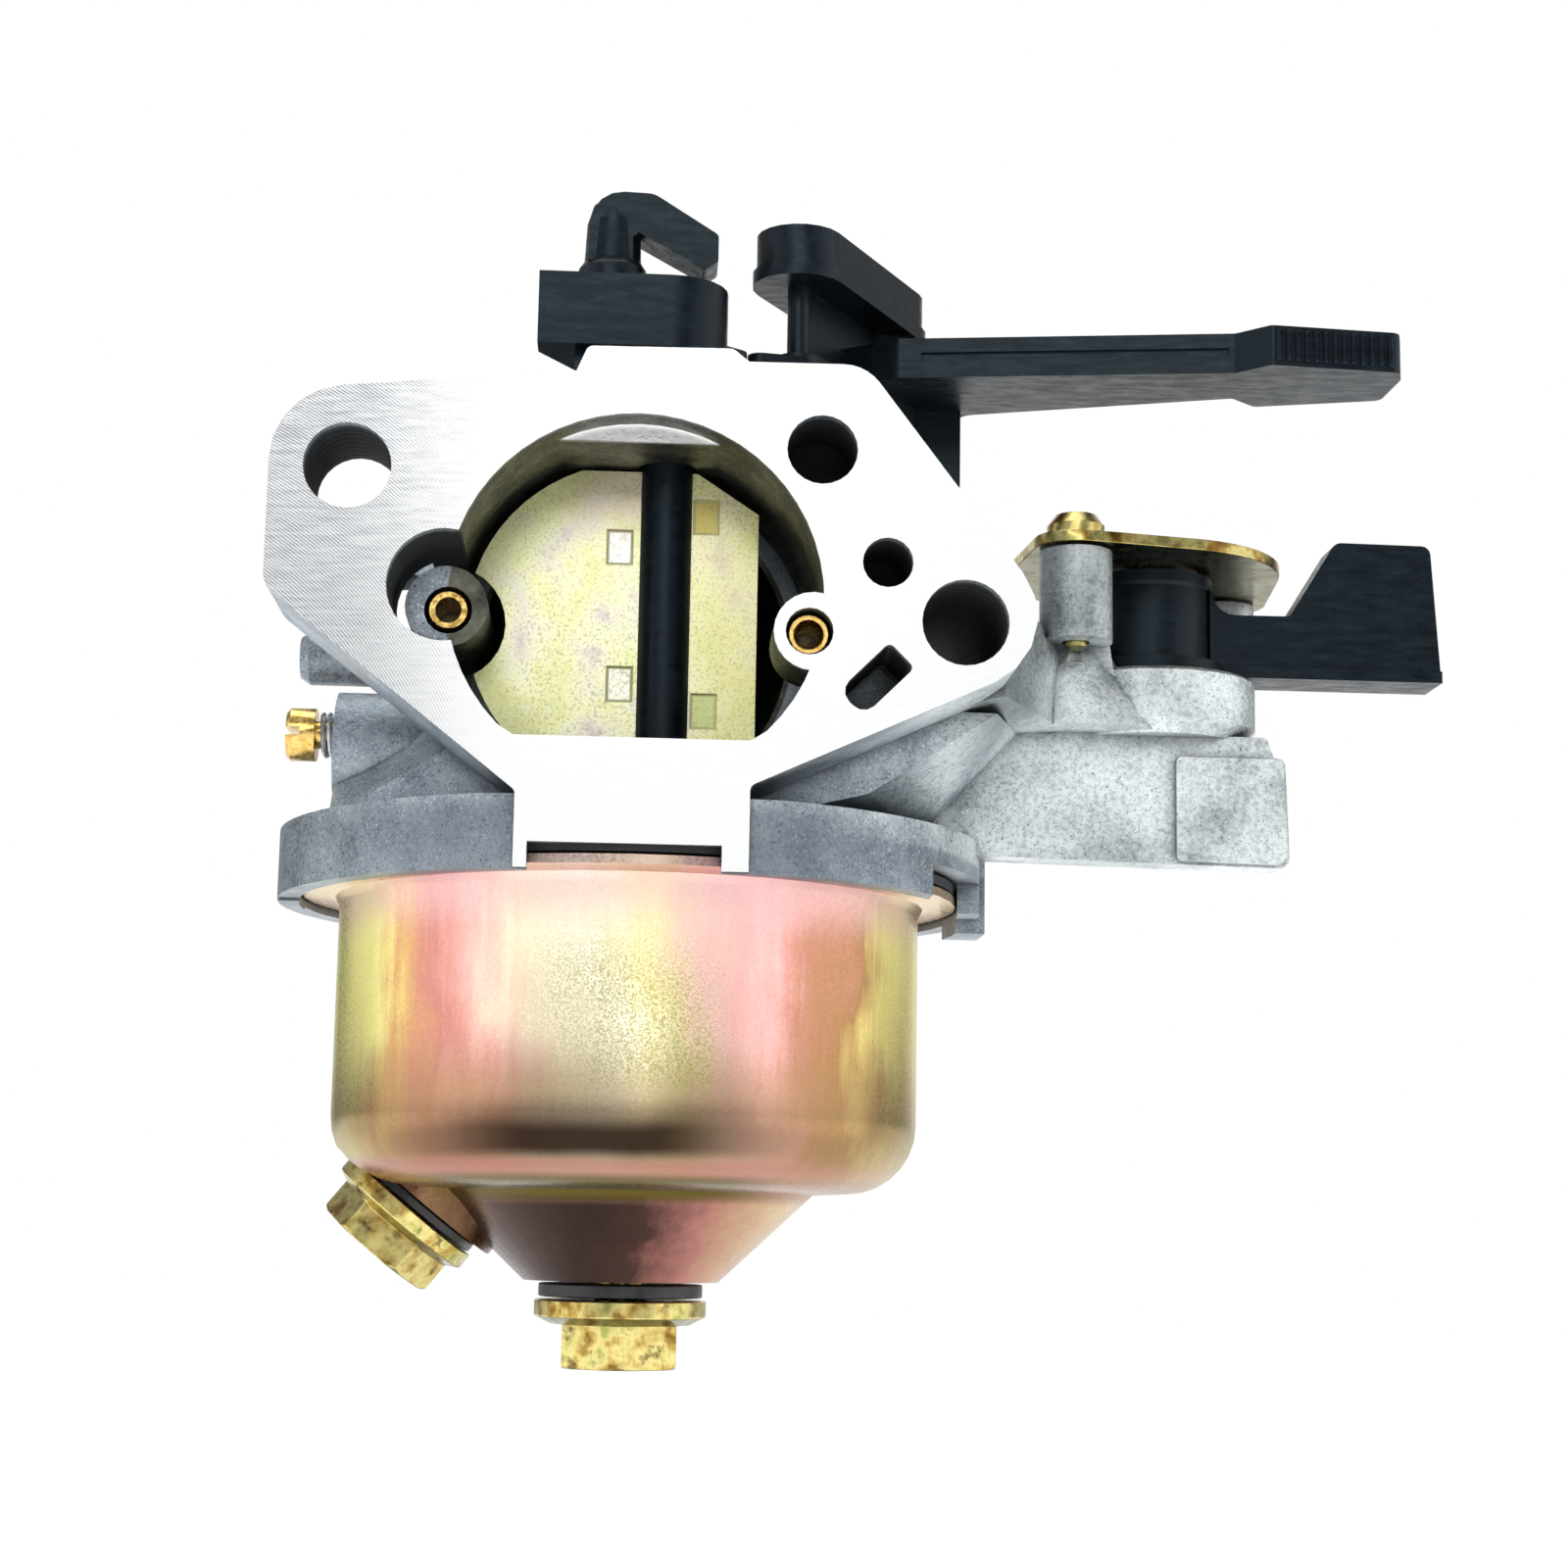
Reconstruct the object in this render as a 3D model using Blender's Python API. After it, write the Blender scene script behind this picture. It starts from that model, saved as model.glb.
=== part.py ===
"""Float-bowl carburetor for a small horizontal-shaft engine, built as separate pieces.

Numbers are in millimetres and become metres in make_mesh(). The origin is the centre of the
choke bore on the air-cleaner face. +X is to the right seen from the air cleaner, +Y runs down
the bore to the engine, and +Z is up. Profiles are given in the plane across their axis:
(y, z) for "X", (x, z) for "Y" and (x, y) for "Z".
"""
import math

import bmesh
import bpy
from mathutils import Matrix, Vector

MM = 0.001
GAP = 0.3                      # clearance between pieces that touch on the real object

# Main casting
BODY_LENGTH = 72.0             # air-cleaner face to engine face
FLANGE_THICK = 13.0
ENGINE_FLANGE_THICK = 8.0
STUD_LEFT = (-28.4, 12.2)
STUD_RIGHT = (32.3, -1.7)
STUD_HOLE_R = 4.3
CHOKE_BORE_R = 18.4
CHOKE_FLAT = 16.6              # half height of the flats inside the choke bore
LIP_FLOOR = -14.0              # floor of the bore's mouth
LIP_DEPTH = 4.0
VENTURI_R = 12.4
THROTTLE_BORE_R = 13.5

# Float chamber, turned about a vertical axis
BOWL_AXIS = (0.2, 36.0)
LID_R = 37.8
LID_TOP = -19.6
LID_BOTTOM = -26.9
CHAMBER_ROOF = -22.0
GASKET_SEAT = -23.6
BOWL_FLANGE_R = 35.2
BOWL_FLANGE_TOP = -25.2
BOWL_R = 31.2
BOWL_WALL = 0.9
BOWL_FLANGE_BOTTOM = BOWL_FLANGE_TOP - BOWL_WALL
BOWL_CORNER = 7.2              # radius where the side wall turns in
BOWL_STEP = -57.0
BOWL_FLOOR = -66.3
SUMP_R = 10.4
BOLT_HOLE_R = 3.3
BOLT_SHANK_R = 2.7
HEX_FLATS = 12.0

# Drain boss on the left of the bowl: the outward direction of its face, and its centre
DRAIN_DIR = Vector((-0.63, 0.0, -0.777)).normalized()
DRAIN_FACE = Vector((BOWL_AXIS[0] - 21.6, BOWL_AXIS[1], -57.7))
DRAIN_BOSS_R = 9.6

# Choke
CHOKE_AXIS = (2.9, 14.0)
CHOKE_SHAFT_R = 2.7
CHOKE_BLOCK_Z = (28.0, 35.6)
LEVER_PIVOT = (16.5, 19.6)
LEVER_ELBOW = (27.2, 38.0)     # where the lever's upper arm comes down to its handle
LEVER_BAR_Z = (30.4, 34.8)
LEVER_ARM_Z = (38.6, 44.2)
LEVER_SKIRT_BOTTOM = 21.8
LEVER_ROD_R = 1.2
LEVER_BOSS_TOP = 23.6

# Throttle
THROTTLE_AXIS = (0.0, 58.0)
THROTTLE_SHAFT_R = 3.0
THROTTLE_BOSS_TOP = 24.5
THROTTLE_LEVER_Z = (27.6, 32.4)
IDLE_SCREW = (48.8, 24.4)      # y and z of the stop screw, which lies along X
PILOT_JET = (-13.0, 36.0)

# Fuel valve on the right
VALVE_AXIS = (56.8, 34.0)
VALVE_POSTS = ((46.7, 22.2), (67.4, 46.4))
VALVE_POST_R = 3.9
DISH_R = 11.5
DISH_Z = (-7.6, -0.6)
VALVE_PLATE_Z = (11.5, 12.7)
VALVE_PLATE_R = 15.1

# Mixture screw on the left
MIXTURE_AXIS = (24.0, -10.4)   # y and z of its axis, which runs along X
MIXTURE_FACE = -30.3

# Float
FLOAT_PIVOT = (62.2, -27.6)    # y and z of the hinge pin
FLOAT_DROOP = math.radians(10.0)
NEEDLE_Y = 54.6

FINISHES = {
    "cast_aluminium": ((0.62, 0.64, 0.66), 0.45, 1.0),
    "yellow_zinc": ((0.72, 0.58, 0.30), 0.30, 1.0),
    "brass": ((0.78, 0.57, 0.20), 0.28, 1.0),
    "steel": ((0.55, 0.55, 0.56), 0.30, 1.0),
    "black_plastic": ((0.018, 0.019, 0.021), 0.42, 0.0),
    "black_rubber": ((0.02, 0.02, 0.02), 0.70, 0.0),
    "float_plastic": ((0.75, 0.73, 0.66), 0.50, 0.0),
}


# ---------------------------------------------------------------- modelling helpers

def along(axis, a, b, height):
    """The point (a, b) of the plane across an axis, at a height along that axis."""
    if axis == "X":
        return (height, a, b)
    if axis == "Y":
        return (a, height, b)
    return (a, b, height)


def make_mesh(verts, faces):
    """A closed mesh object from millimetre points, with its faces turned outwards."""
    mesh = bpy.data.meshes.new("solid")
    mesh.from_pydata([(x * MM, y * MM, z * MM) for x, y, z in verts], [], faces)
    bm = bmesh.new()
    bm.from_mesh(mesh)
    bmesh.ops.recalc_face_normals(bm, faces=bm.faces)
    bm.to_mesh(mesh)
    bm.free()
    obj = bpy.data.objects.new("solid", mesh)
    bpy.context.scene.collection.objects.link(obj)
    return obj


def arc(a, b, radius, start, end, steps):
    """Points of an arc about (a, b), angles in degrees."""
    points = []
    for i in range(steps + 1):
        angle = math.radians(start + (end - start) * i / steps)
        points.append((a + radius * math.cos(angle), b + radius * math.sin(angle)))
    return points


def circle(a, b, radius, steps):
    return arc(a, b, radius, 0.0, 360.0 * (steps - 1) / steps, steps - 1)


def rounded(corners, steps=5):
    """An outline from (a, b, radius) corners, with an arc at each corner that has a radius."""
    outline = []
    count = len(corners)
    for i, (a, b, radius) in enumerate(corners):
        if radius == 0:
            outline.append((a, b))
            continue
        here = Vector((a, b))
        back = (Vector(corners[i - 1][:2]) - here).normalized()
        ahead = (Vector(corners[(i + 1) % count][:2]) - here).normalized()
        half = back.angle(ahead) / 2
        centre = here + (back + ahead).normalized() * (radius / math.sin(half))
        first = here + back * (radius / math.tan(half)) - centre
        last = here + ahead * (radius / math.tan(half)) - centre
        turn = math.atan2(first.x * last.y - first.y * last.x, first.dot(last))
        for k in range(steps + 1):
            spin = turn * k / steps
            outline.append((centre.x + first.x * math.cos(spin) - first.y * math.sin(spin),
                            centre.y + first.x * math.sin(spin) + first.y * math.cos(spin)))
    return outline


def capsule(first, second, r_first, r_second, steps=10):
    """The outline round two circles and the straight sides between them."""
    span = Vector(second) - Vector(first)
    heading = math.degrees(math.atan2(span.y, span.x))
    lean = math.degrees(math.asin((r_first - r_second) / span.length))
    far = arc(second[0], second[1], r_second, heading - 90 + lean, heading + 90 - lean, steps)
    near = arc(first[0], first[1], r_first, heading + 90 - lean, heading + 270 + lean, steps)
    return far + near


def toward(start, end, distance):
    """The point that far from start on the way to end."""
    return tuple(Vector(start) + (Vector(end) - Vector(start)).normalized() * distance)


def prism(outline, axis, low, high):
    """An outline pushed along an axis."""
    n = len(outline)
    verts = [along(axis, a, b, low) for a, b in outline]
    verts += [along(axis, a, b, high) for a, b in outline]
    faces = [list(range(n)), list(range(n, 2 * n))]
    faces += [[i, (i + 1) % n, n + (i + 1) % n, n + i] for i in range(n)]
    return make_mesh(verts, faces)


def cylinder(centre, radius, axis, low, high, steps=32):
    return prism(circle(centre[0], centre[1], radius, steps), axis, low, high)


def box(low, high):
    outline = [(low[0], low[1]), (high[0], low[1]), (high[0], high[1]), (low[0], high[1])]
    return prism(outline, "Z", low[2], high[2])


def hull(points):
    """The convex solid round a set of points."""
    bm = bmesh.new()
    for point in points:
        bm.verts.new(point)
    result = bmesh.ops.convex_hull(bm, input=bm.verts)
    bmesh.ops.delete(bm, geom=result["geom_interior"], context="VERTS")
    bm.verts.index_update()
    verts = [tuple(v.co) for v in bm.verts]
    faces = [[v.index for v in f.verts] for f in bm.faces]
    bm.free()
    return make_mesh(verts, faces)


def lathe(profile, axis, centre, steps):
    """A closed (radius, height) profile turned about an axis through centre."""
    verts = []
    rings = []
    for radius, height in profile:
        if radius == 0:
            rings.append([len(verts)])
            verts.append(along(axis, centre[0], centre[1], height))
            continue
        rings.append(list(range(len(verts), len(verts) + steps)))
        verts += [along(axis, a, b, height) for a, b in circle(centre[0], centre[1], radius, steps)]
    faces = []
    for i, ring in enumerate(rings):
        other = rings[(i + 1) % len(rings)]
        if len(ring) == 1 and len(other) == 1:
            continue
        for k in range(steps):
            quad = [ring[k % len(ring)], ring[(k + 1) % len(ring)],
                    other[(k + 1) % len(other)], other[k % len(other)]]
            faces.append(list(dict.fromkeys(quad)))
    return make_mesh(verts, faces)


def loft(sections, steps):
    """Round sections (x, y, radius, z), from the top down, joined into one solid."""
    verts = []
    for x, y, radius, z in sections:
        verts += [(a, b, z) for a, b in circle(x, y, radius, steps)]
    last = (len(sections) - 1) * steps
    faces = [list(range(steps)), list(range(last, last + steps))]
    for low in range(0, last, steps):
        for k in range(steps):
            after = (k + 1) % steps
            faces.append([low + k, low + after, low + steps + after, low + steps + k])
    return make_mesh(verts, faces)


def coil(axis, centre, radius, wire, low, high, turns, sides=6, per_turn=14):
    """A compression spring: a round wire along a helix, with a flat cap at each end."""
    count = int(turns * per_turn)
    verts = []
    for i in range(count + 1):
        angle = 2 * math.pi * i / per_turn
        height = low + wire + (high - low - 2 * wire) * i / count
        for k in range(sides):
            around = 2 * math.pi * k / sides
            reach = radius + wire * math.cos(around)
            verts.append(along(axis, centre[0] + reach * math.cos(angle),
                               centre[1] + reach * math.sin(angle), height + wire * math.sin(around)))
    faces = [list(range(sides)), list(range(count * sides, (count + 1) * sides))]
    for i in range(count):
        for k in range(sides):
            a = i * sides + k
            b = i * sides + (k + 1) % sides
            faces.append([a, b, b + sides, a + sides])
    return make_mesh(verts, faces)


def bake(obj):
    """Replace an object's mesh by what its modifiers make of it."""
    graph = bpy.context.evaluated_depsgraph_get()
    mesh = bpy.data.meshes.new_from_object(obj.evaluated_get(graph))
    obj.modifiers.clear()
    obj.data = mesh


def combine(base, tools, operation):
    for tool in tools:
        step = base.modifiers.new("combine", "BOOLEAN")
        step.operation = operation
        step.solver = "EXACT"
        step.object = tool
        bake(base)
        bpy.data.objects.remove(tool, do_unlink=True)
    return base


def unite(base, *tools):
    return combine(base, tools, "UNION")


def cut(base, *tools):
    return combine(base, tools, "DIFFERENCE")


def aim(obj, origin, direction):
    """Move a piece made about +Z so that its axis runs from origin along direction."""
    turn = Vector((0, 0, 1)).rotation_difference(direction).to_matrix().to_4x4()
    obj.data.transform(Matrix.Translation(Vector(origin) * MM) @ turn)
    obj.data.update()
    return obj


def material(name):
    found = bpy.data.materials.get(name)
    if found:
        return found
    colour, roughness, metallic = FINISHES[name]
    made = bpy.data.materials.new(name)
    made.use_nodes = True
    shader = made.node_tree.nodes["Principled BSDF"]
    shader.inputs["Base Color"].default_value = (*colour, 1.0)
    shader.inputs["Roughness"].default_value = roughness
    shader.inputs["Metallic"].default_value = metallic
    return made


def finish(obj, name, slot, pivot=(0.0, 0.0, 0.0)):
    """Name a piece, give it its material, and put its origin on its own axis."""
    bm = bmesh.new()
    bm.from_mesh(obj.data)
    bmesh.ops.dissolve_degenerate(bm, dist=1e-6, edges=bm.edges)
    bm.to_mesh(obj.data)
    bm.free()
    obj.name = name
    obj.data.name = name
    obj.data.materials.clear()
    obj.data.materials.append(material(slot))
    obj.data.transform(Matrix.Translation(-Vector(pivot) * MM))
    obj.location = Vector(pivot) * MM
    obj.data.shade_smooth()
    obj.data.set_sharp_from_angle(angle=math.radians(35))
    return obj


def hexagon(radius_flats, low, high, chamfer):
    """A hexagon head about +Z, with its outer corners chamfered."""
    corner = radius_flats / math.cos(math.pi / 6)
    head = prism(circle(0, 0, corner, 6), "Z", low, high)
    cone = lathe([(0, low - 1), (corner + 1, low - 1), (corner + 1, high - chamfer - 0.55),
                  (corner - chamfer, high + 0.01), (0, high + 0.01)], "Z", (0, 0), 24)
    step = head.modifiers.new("chamfer", "BOOLEAN")
    step.operation = "INTERSECT"
    step.solver = "EXACT"
    step.object = cone
    bake(head)
    bpy.data.objects.remove(cone, do_unlink=True)
    return head


# ---------------------------------------------------------------- main casting

def flange_outline():
    """The air-cleaner flange: a lobe round each stud, a raised top and a stem to the bowl."""
    return rounded([
        (-36.0, 0.1, 2.4), (-36.0, 19.6, 7.6), (-6.4, 22.5, 0), (-5.3, 25.1, 0.8),
        (9.0, 25.3, 1.2), (10.6, 24.0, 0), (22.2, 24.1, 4.5), (43.4, -3.8, 7.3),
        (11.5, -18.4, 0.8), (11.5, -26.8, 0), (-11.1, -26.8, 0), (-11.1, -19.4, 0.8),
    ])


def body_shell():
    """The outside of the casting, before anything is bored."""
    shell = prism(flange_outline(), "Y", 0.0, FLANGE_THICK)
    rear = BODY_LENGTH - ENGINE_FLANGE_THICK
    barrel = lathe([(0, 8), (21.6, 8), (21.6, 23), (17.8, 33), (17.0, 44), (17.4, 68), (0, 68)],
                   "Y", (0, 0), 40)
    engine_flange = prism(capsule(STUD_LEFT, STUD_RIGHT, 8.0, 8.0), "Y", rear, BODY_LENGTH)
    engine_ring = cylinder((0, 0), 19.0, "Y", rear + 0.4, BODY_LENGTH - 0.4, 40)
    lid_points = [(x, min(max(y, 0.8), BODY_LENGTH - 0.9))
                  for x, y in circle(BOWL_AXIS[0], BOWL_AXIS[1], LID_R, 64)]
    lid = prism(lid_points, "Z", LID_BOTTOM, LID_TOP)
    saddle = box((-12.5, 10.0, -22.5), (12.5, 66.0, -8.0))
    pedestal = cylinder(BOWL_AXIS, 6.0, "Z", -61.6, -19.9, 28)
    return unite(shell, barrel, engine_flange, engine_ring, lid, saddle, pedestal)


def left_side(shell):
    """The mixture-screw boss, the wall behind it and the bosses above the bowl."""
    wall = hull([(-30.3, 14, -20.5), (-8, 9, -20.5), (-30.3, 50, -20.5), (-8, 52, -20.5),
                 (-30.3, 25, -8.2), (-8, 11, -7.0), (-30.3, 44, -8.2), (-8, 50, -7.0)])
    mixture_boss = cylinder((MIXTURE_AXIS[0] - 1.5, MIXTURE_AXIS[1] - 2.2), 6.4, "X",
                            MIXTURE_FACE - 0.2, -9.0, 28)
    air_boss = lathe([(0, -35.4), (2.2, -35.4), (2.9, -34.4), (2.9, -14), (0, -14)], "X",
                     (28.0, -1.4), 20)
    lug = box((-37.0, 30.0, -27.2), (-33.0, 38.5, -21.4))
    return unite(shell, wall, mixture_boss, air_boss, lug)


def right_side(shell):
    """The arm that carries the fuel valve: a plate, the valve's dish and its two posts."""
    arm = prism(rounded([(9.0, -7.2, 0), (68.2, -7.4, 0.6), (69.0, -9.6, 0), (70.2, -9.7, 0.8),
                         (70.6, -21.6, 1.2), (32.0, -20.9, 0), (9.0, -20.9, 0)]), "Y", 27.0, 31.6)
    pad = prism(rounded([(58.2, -9.9, 0.6), (69.8, -9.9, 0.8), (70.2, -21.3, 1.2),
                         (58.2, -21.1, 0.6)]), "Y", 26.0, 30.0)
    gusset = hull([(9, 12, -20.6), (24, 12, -17.0), (9, 12, -8), (37, 12, -8.4), (9, 30, -20.6),
                   (30, 30, -20.6), (9, 30, -7.6), (42, 30, -7.6)])
    neck = hull([(28, 10, -9), (28, 10, 6), (37.6, 10, -7), (37.6, 10, 5.0), (46, 25.4, -7.4),
                 (46, 25.4, 0.8), (42, 38, -7.4), (42, 38, 2.6), (16, 34, -8), (16, 34, 5)])
    flare = loft([(46.9, 27.4, 3.6, 3.4), (47.0, 27.8, 4.2, 1.2), (47.3, 28.6, 5.4, -0.8),
                  (47.8, 29.6, 7.2, -2.8), (48.4, 30.6, 9.0, -5.0), (48.6, 30.8, 9.6, -7.4)], 28)
    dish = lathe([(0, DISH_Z[0]), (DISH_R - 1.6, DISH_Z[0]), (DISH_R, DISH_Z[0] + 1.4),
                  (DISH_R, DISH_Z[1] - 0.4), (DISH_R - 0.5, DISH_Z[1]), (0, DISH_Z[1])],
                 "Z", VALVE_AXIS, 36)
    shell = unite(shell, gusset, neck, flare, arm, pad, dish)
    for x, y in VALVE_POSTS:
        shell = unite(shell, cylinder((x, y), VALVE_POST_R, "Z", 1.4, VALVE_PLATE_Z[0] - GAP, 24))
    x, y = VALVE_POSTS[1]
    foot = cylinder((x - 1.4, y - 1.4), VALVE_POST_R, "Z", -6.6, 3.0, 24)
    web = hull([(x - 2.2, y - 2.2, -5), (x - 2.2, y + 2.6, -5), (x - 2.2, y - 2.2, 6),
                (x - 2.2, y + 2.6, 6), (x + 0.4, y - 2.6, -3), (x + 0.4, y + 2.6, -3),
                (x + 0.4, y - 2.6, 9), (x + 0.4, y + 2.6, 9)])
    shell = unite(shell, foot, web)
    bracket = hull([(43.9, 24.0, -5), (51.6, 24.0, -5), (43.9, 24.0, 9.0), (49.6, 24.0, 9.0),
                    (43.9, 28.0, -5), (51.6, 28.0, -5), (43.9, 26.6, 9.0), (49.6, 26.6, 9.0)])
    lug = box((34.0, 36.0, -28.4), (38.9, 43.0, -19.2))
    return unite(shell, bracket, lug)


def top_side(shell):
    """The choke, lever and throttle bosses, the idle-screw lug and the pilot-jet boss."""
    choke_boss = cylinder(CHOKE_AXIS, 6.2, "Z", 12.0, 27.4, 28)
    throttle_boss = cylinder(THROTTLE_AXIS, 7.0, "Z", 8.0, THROTTLE_BOSS_TOP, 28)
    lever_boss = cylinder(LEVER_PIVOT, 4.2, "Z", 8.0, LEVER_BOSS_TOP, 24)
    idle_lug = hull([(-13.8, 45.0, 4), (-4.0, 45.0, 4), (-13.8, 53.0, 4), (-4.0, 53.0, 4),
                     (-13.0, 45.8, 27.3), (-8.6, 45.8, 27.3), (-13.0, 52.0, 27.3),
                     (-8.6, 52.0, 27.3)])
    pilot_boss = cylinder(PILOT_JET, 5.2, "Z", 6.0, 20.0, 24)
    return unite(shell, choke_boss, throttle_boss, lever_boss, idle_lug, pilot_boss)


def bore_air_way(shell):
    """The choke bore with its flats and lip, the venturi, and the throttle bore."""
    mouth_points = [(x, max(z, LIP_FLOOR)) for x, z in circle(0, 0, CHOKE_BORE_R, 56)]
    choke_points = [(x, min(max(z, -CHOKE_FLAT), CHOKE_FLAT))
                    for x, z in circle(0, 0, CHOKE_BORE_R, 56)]
    mouth = prism(mouth_points, "Y", -1.0, LIP_DEPTH + 0.2)
    choke = prism(choke_points, "Y", LIP_DEPTH, 25.0)
    venturi = lathe([(0, 24.0), (16.4, 24.0), (15.2, 29.0), (13.2, 34.0), (VENTURI_R, 38.5),
                     (VENTURI_R, 41.5), (13.0, 45.5), (THROTTLE_BORE_R, 50.0),
                     (THROTTLE_BORE_R, BODY_LENGTH + 1), (0, BODY_LENGTH + 1)], "Y", (0, 0), 56)
    return cut(shell, mouth, choke, venturi)


def add_jet_seats(shell):
    """The round boss beside the bore on the right, and the recessed one on the left."""
    lobe = cylinder((17.4, -3.0), 3.9, "Y", 0.0, 9.0, 24)
    shell = unite(shell, lobe)
    shell = cut(shell, cylinder((17.0, -3.0), 2.35, "Y", -1.0, 7.0, 20))
    pocket = cylinder((-18.6, 0.6), 5.6, "Y", -1.0, 16.5, 32)
    shell = cut(shell, pocket)
    post = cylinder((-18.8, 0.0), 4.1, "Y", 7.0, 22.0, 28)
    shell = unite(shell, post)
    return cut(shell, cylinder((-18.6, -0.4), 2.4, "Y", 5.0, 14.0, 20))


def drill_body(shell):
    """Stud holes, the air passages in the face, shaft bearings and screw holes."""
    for stud in (STUD_LEFT, STUD_RIGHT):
        shell = cut(shell, cylinder(stud, STUD_HOLE_R, "Y", -1.0, BODY_LENGTH + 1, 28))
    slot = rounded([(-3.5, -1.75, 0.6), (3.5, -1.75, 1.5), (3.5, 1.75, 1.5), (-3.5, 1.75, 0.6)], 3)
    turned = [((x + z) * math.sqrt(0.5) * -1 + 23.6, (x - z) * -math.sqrt(0.5) - 7.6)
              for x, z in slot]
    face_holes = [cylinder((18.0, 15.3), 3.5, "Y", -1.0, 10.0, 24),
                  cylinder((24.6, 4.1), 2.5, "Y", -1.0, 10.0, 20),
                  prism(turned, "Y", -1.0, 12.0)]
    shell = cut(shell, *face_holes)
    shaft_r = CHOKE_SHAFT_R + GAP
    throttle_r = THROTTLE_SHAFT_R + GAP
    bearings = [cylinder(CHOKE_AXIS, shaft_r, "Z", -19.0, 29.0, 24),
                cylinder(THROTTLE_AXIS, throttle_r, "Z", -18.0, 26.0, 24),
                cylinder(LEVER_PIVOT, LEVER_ROD_R + GAP, "Z", 14.6, 25.0, 16)]
    shell = cut(shell, *bearings)
    mixture = cylinder(MIXTURE_AXIS, 1.9, "X", MIXTURE_FACE - 2, -20.0, 16)
    idle = cylinder(IDLE_SCREW, 1.8, "X", -15.0, -2.0, 16)
    pilot = cylinder(PILOT_JET, 3.3, "Z", 15.0, 21.0, 20)
    shell = cut(shell, mixture, idle, pilot)
    for x, y in VALVE_POSTS:
        shell = cut(shell, cylinder((x, y), 1.5, "Z", -0.4, VALVE_PLATE_Z[1], 14))
    dish_recess = cylinder(VALVE_AXIS, 8.8, "Z", -3.9, 1.6, 32)
    hub_room = cylinder(VALVE_AXIS, 7.3, "Z", 0.0, 11.0, 32)
    inlet = cylinder((VALVE_AXIS[0], -4.2), 2.6, "Y", 40.0, 48.0, 18)
    return cut(shell, dish_recess, hub_room, inlet)


def hollow_chamber(shell):
    """The roof of the float chamber, the bowl's seat, the hinge posts and the jet well."""
    seat = cylinder(BOWL_AXIS, BOWL_FLANGE_R + GAP, "Z", LID_BOTTOM - 4, GASKET_SEAT, 64)
    keep = cylinder(BOWL_AXIS, 6.0, "Z", LID_BOTTOM - 6, GASKET_SEAT + 2, 28)
    seat = cut(seat, keep)
    roof_ring = lathe([(6.1, -24.5), (30.6, -24.5), (30.6, CHAMBER_ROOF), (6.1, CHAMBER_ROOF)],
                      "Z", BOWL_AXIS, 56)
    shell = cut(shell, seat, roof_ring)
    window = box((-9.8, -1.0, -28.0), (8.9, 2.6, -24.3))
    relief = box((30.8, -4.0, -28.0), (40.0, 30.0, GASKET_SEAT - 0.1))
    shell = cut(shell, window, relief)
    y, z = FLOAT_PIVOT
    for side in (-1, 1):
        post = box((side * 6.4 - 1.4, y - 2.4, z - 2.4), (side * 6.4 + 1.4, y + 2.4, -21.4))
        shell = unite(shell, post)
    shell = cut(shell, cylinder((y, z), 1.1, "X", -9.0, 9.0, 14))
    well = lathe([(0, -64), (BOLT_HOLE_R, -64), (BOLT_HOLE_R, -50.5), (2.9, -50.5), (2.9, -30),
                  (2.6, -30), (2.6, -8), (0, -8)], "Z", BOWL_AXIS, 20)
    needle_well = cylinder((0.0, NEEDLE_Y), 2.6, "Z", -24, -19.5, 18)
    return cut(shell, well, needle_well)


def carburetor_body():
    shell = body_shell()
    shell = left_side(shell)
    shell = right_side(shell)
    shell = top_side(shell)
    shell = bore_air_way(shell)
    shell = add_jet_seats(shell)
    shell = hollow_chamber(shell)
    shell = drill_body(shell)
    return finish(shell, "carburetor_body", "cast_aluminium")


# ---------------------------------------------------------------- float chamber

def bowl_profile(offset):
    """The bowl's outer side, or its inner side for a positive offset, from floor to flange."""
    corner = BOWL_CORNER - offset
    points = [(SUMP_R - offset * 0.4, BOWL_FLOOR + offset),
              (20.3 - offset * 0.4, BOWL_STEP + offset)]
    centre = (BOWL_R - BOWL_CORNER, BOWL_STEP + BOWL_CORNER + 0.2)
    points += arc(centre[0], centre[1], corner, -90, 0, 7)
    return points


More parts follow.
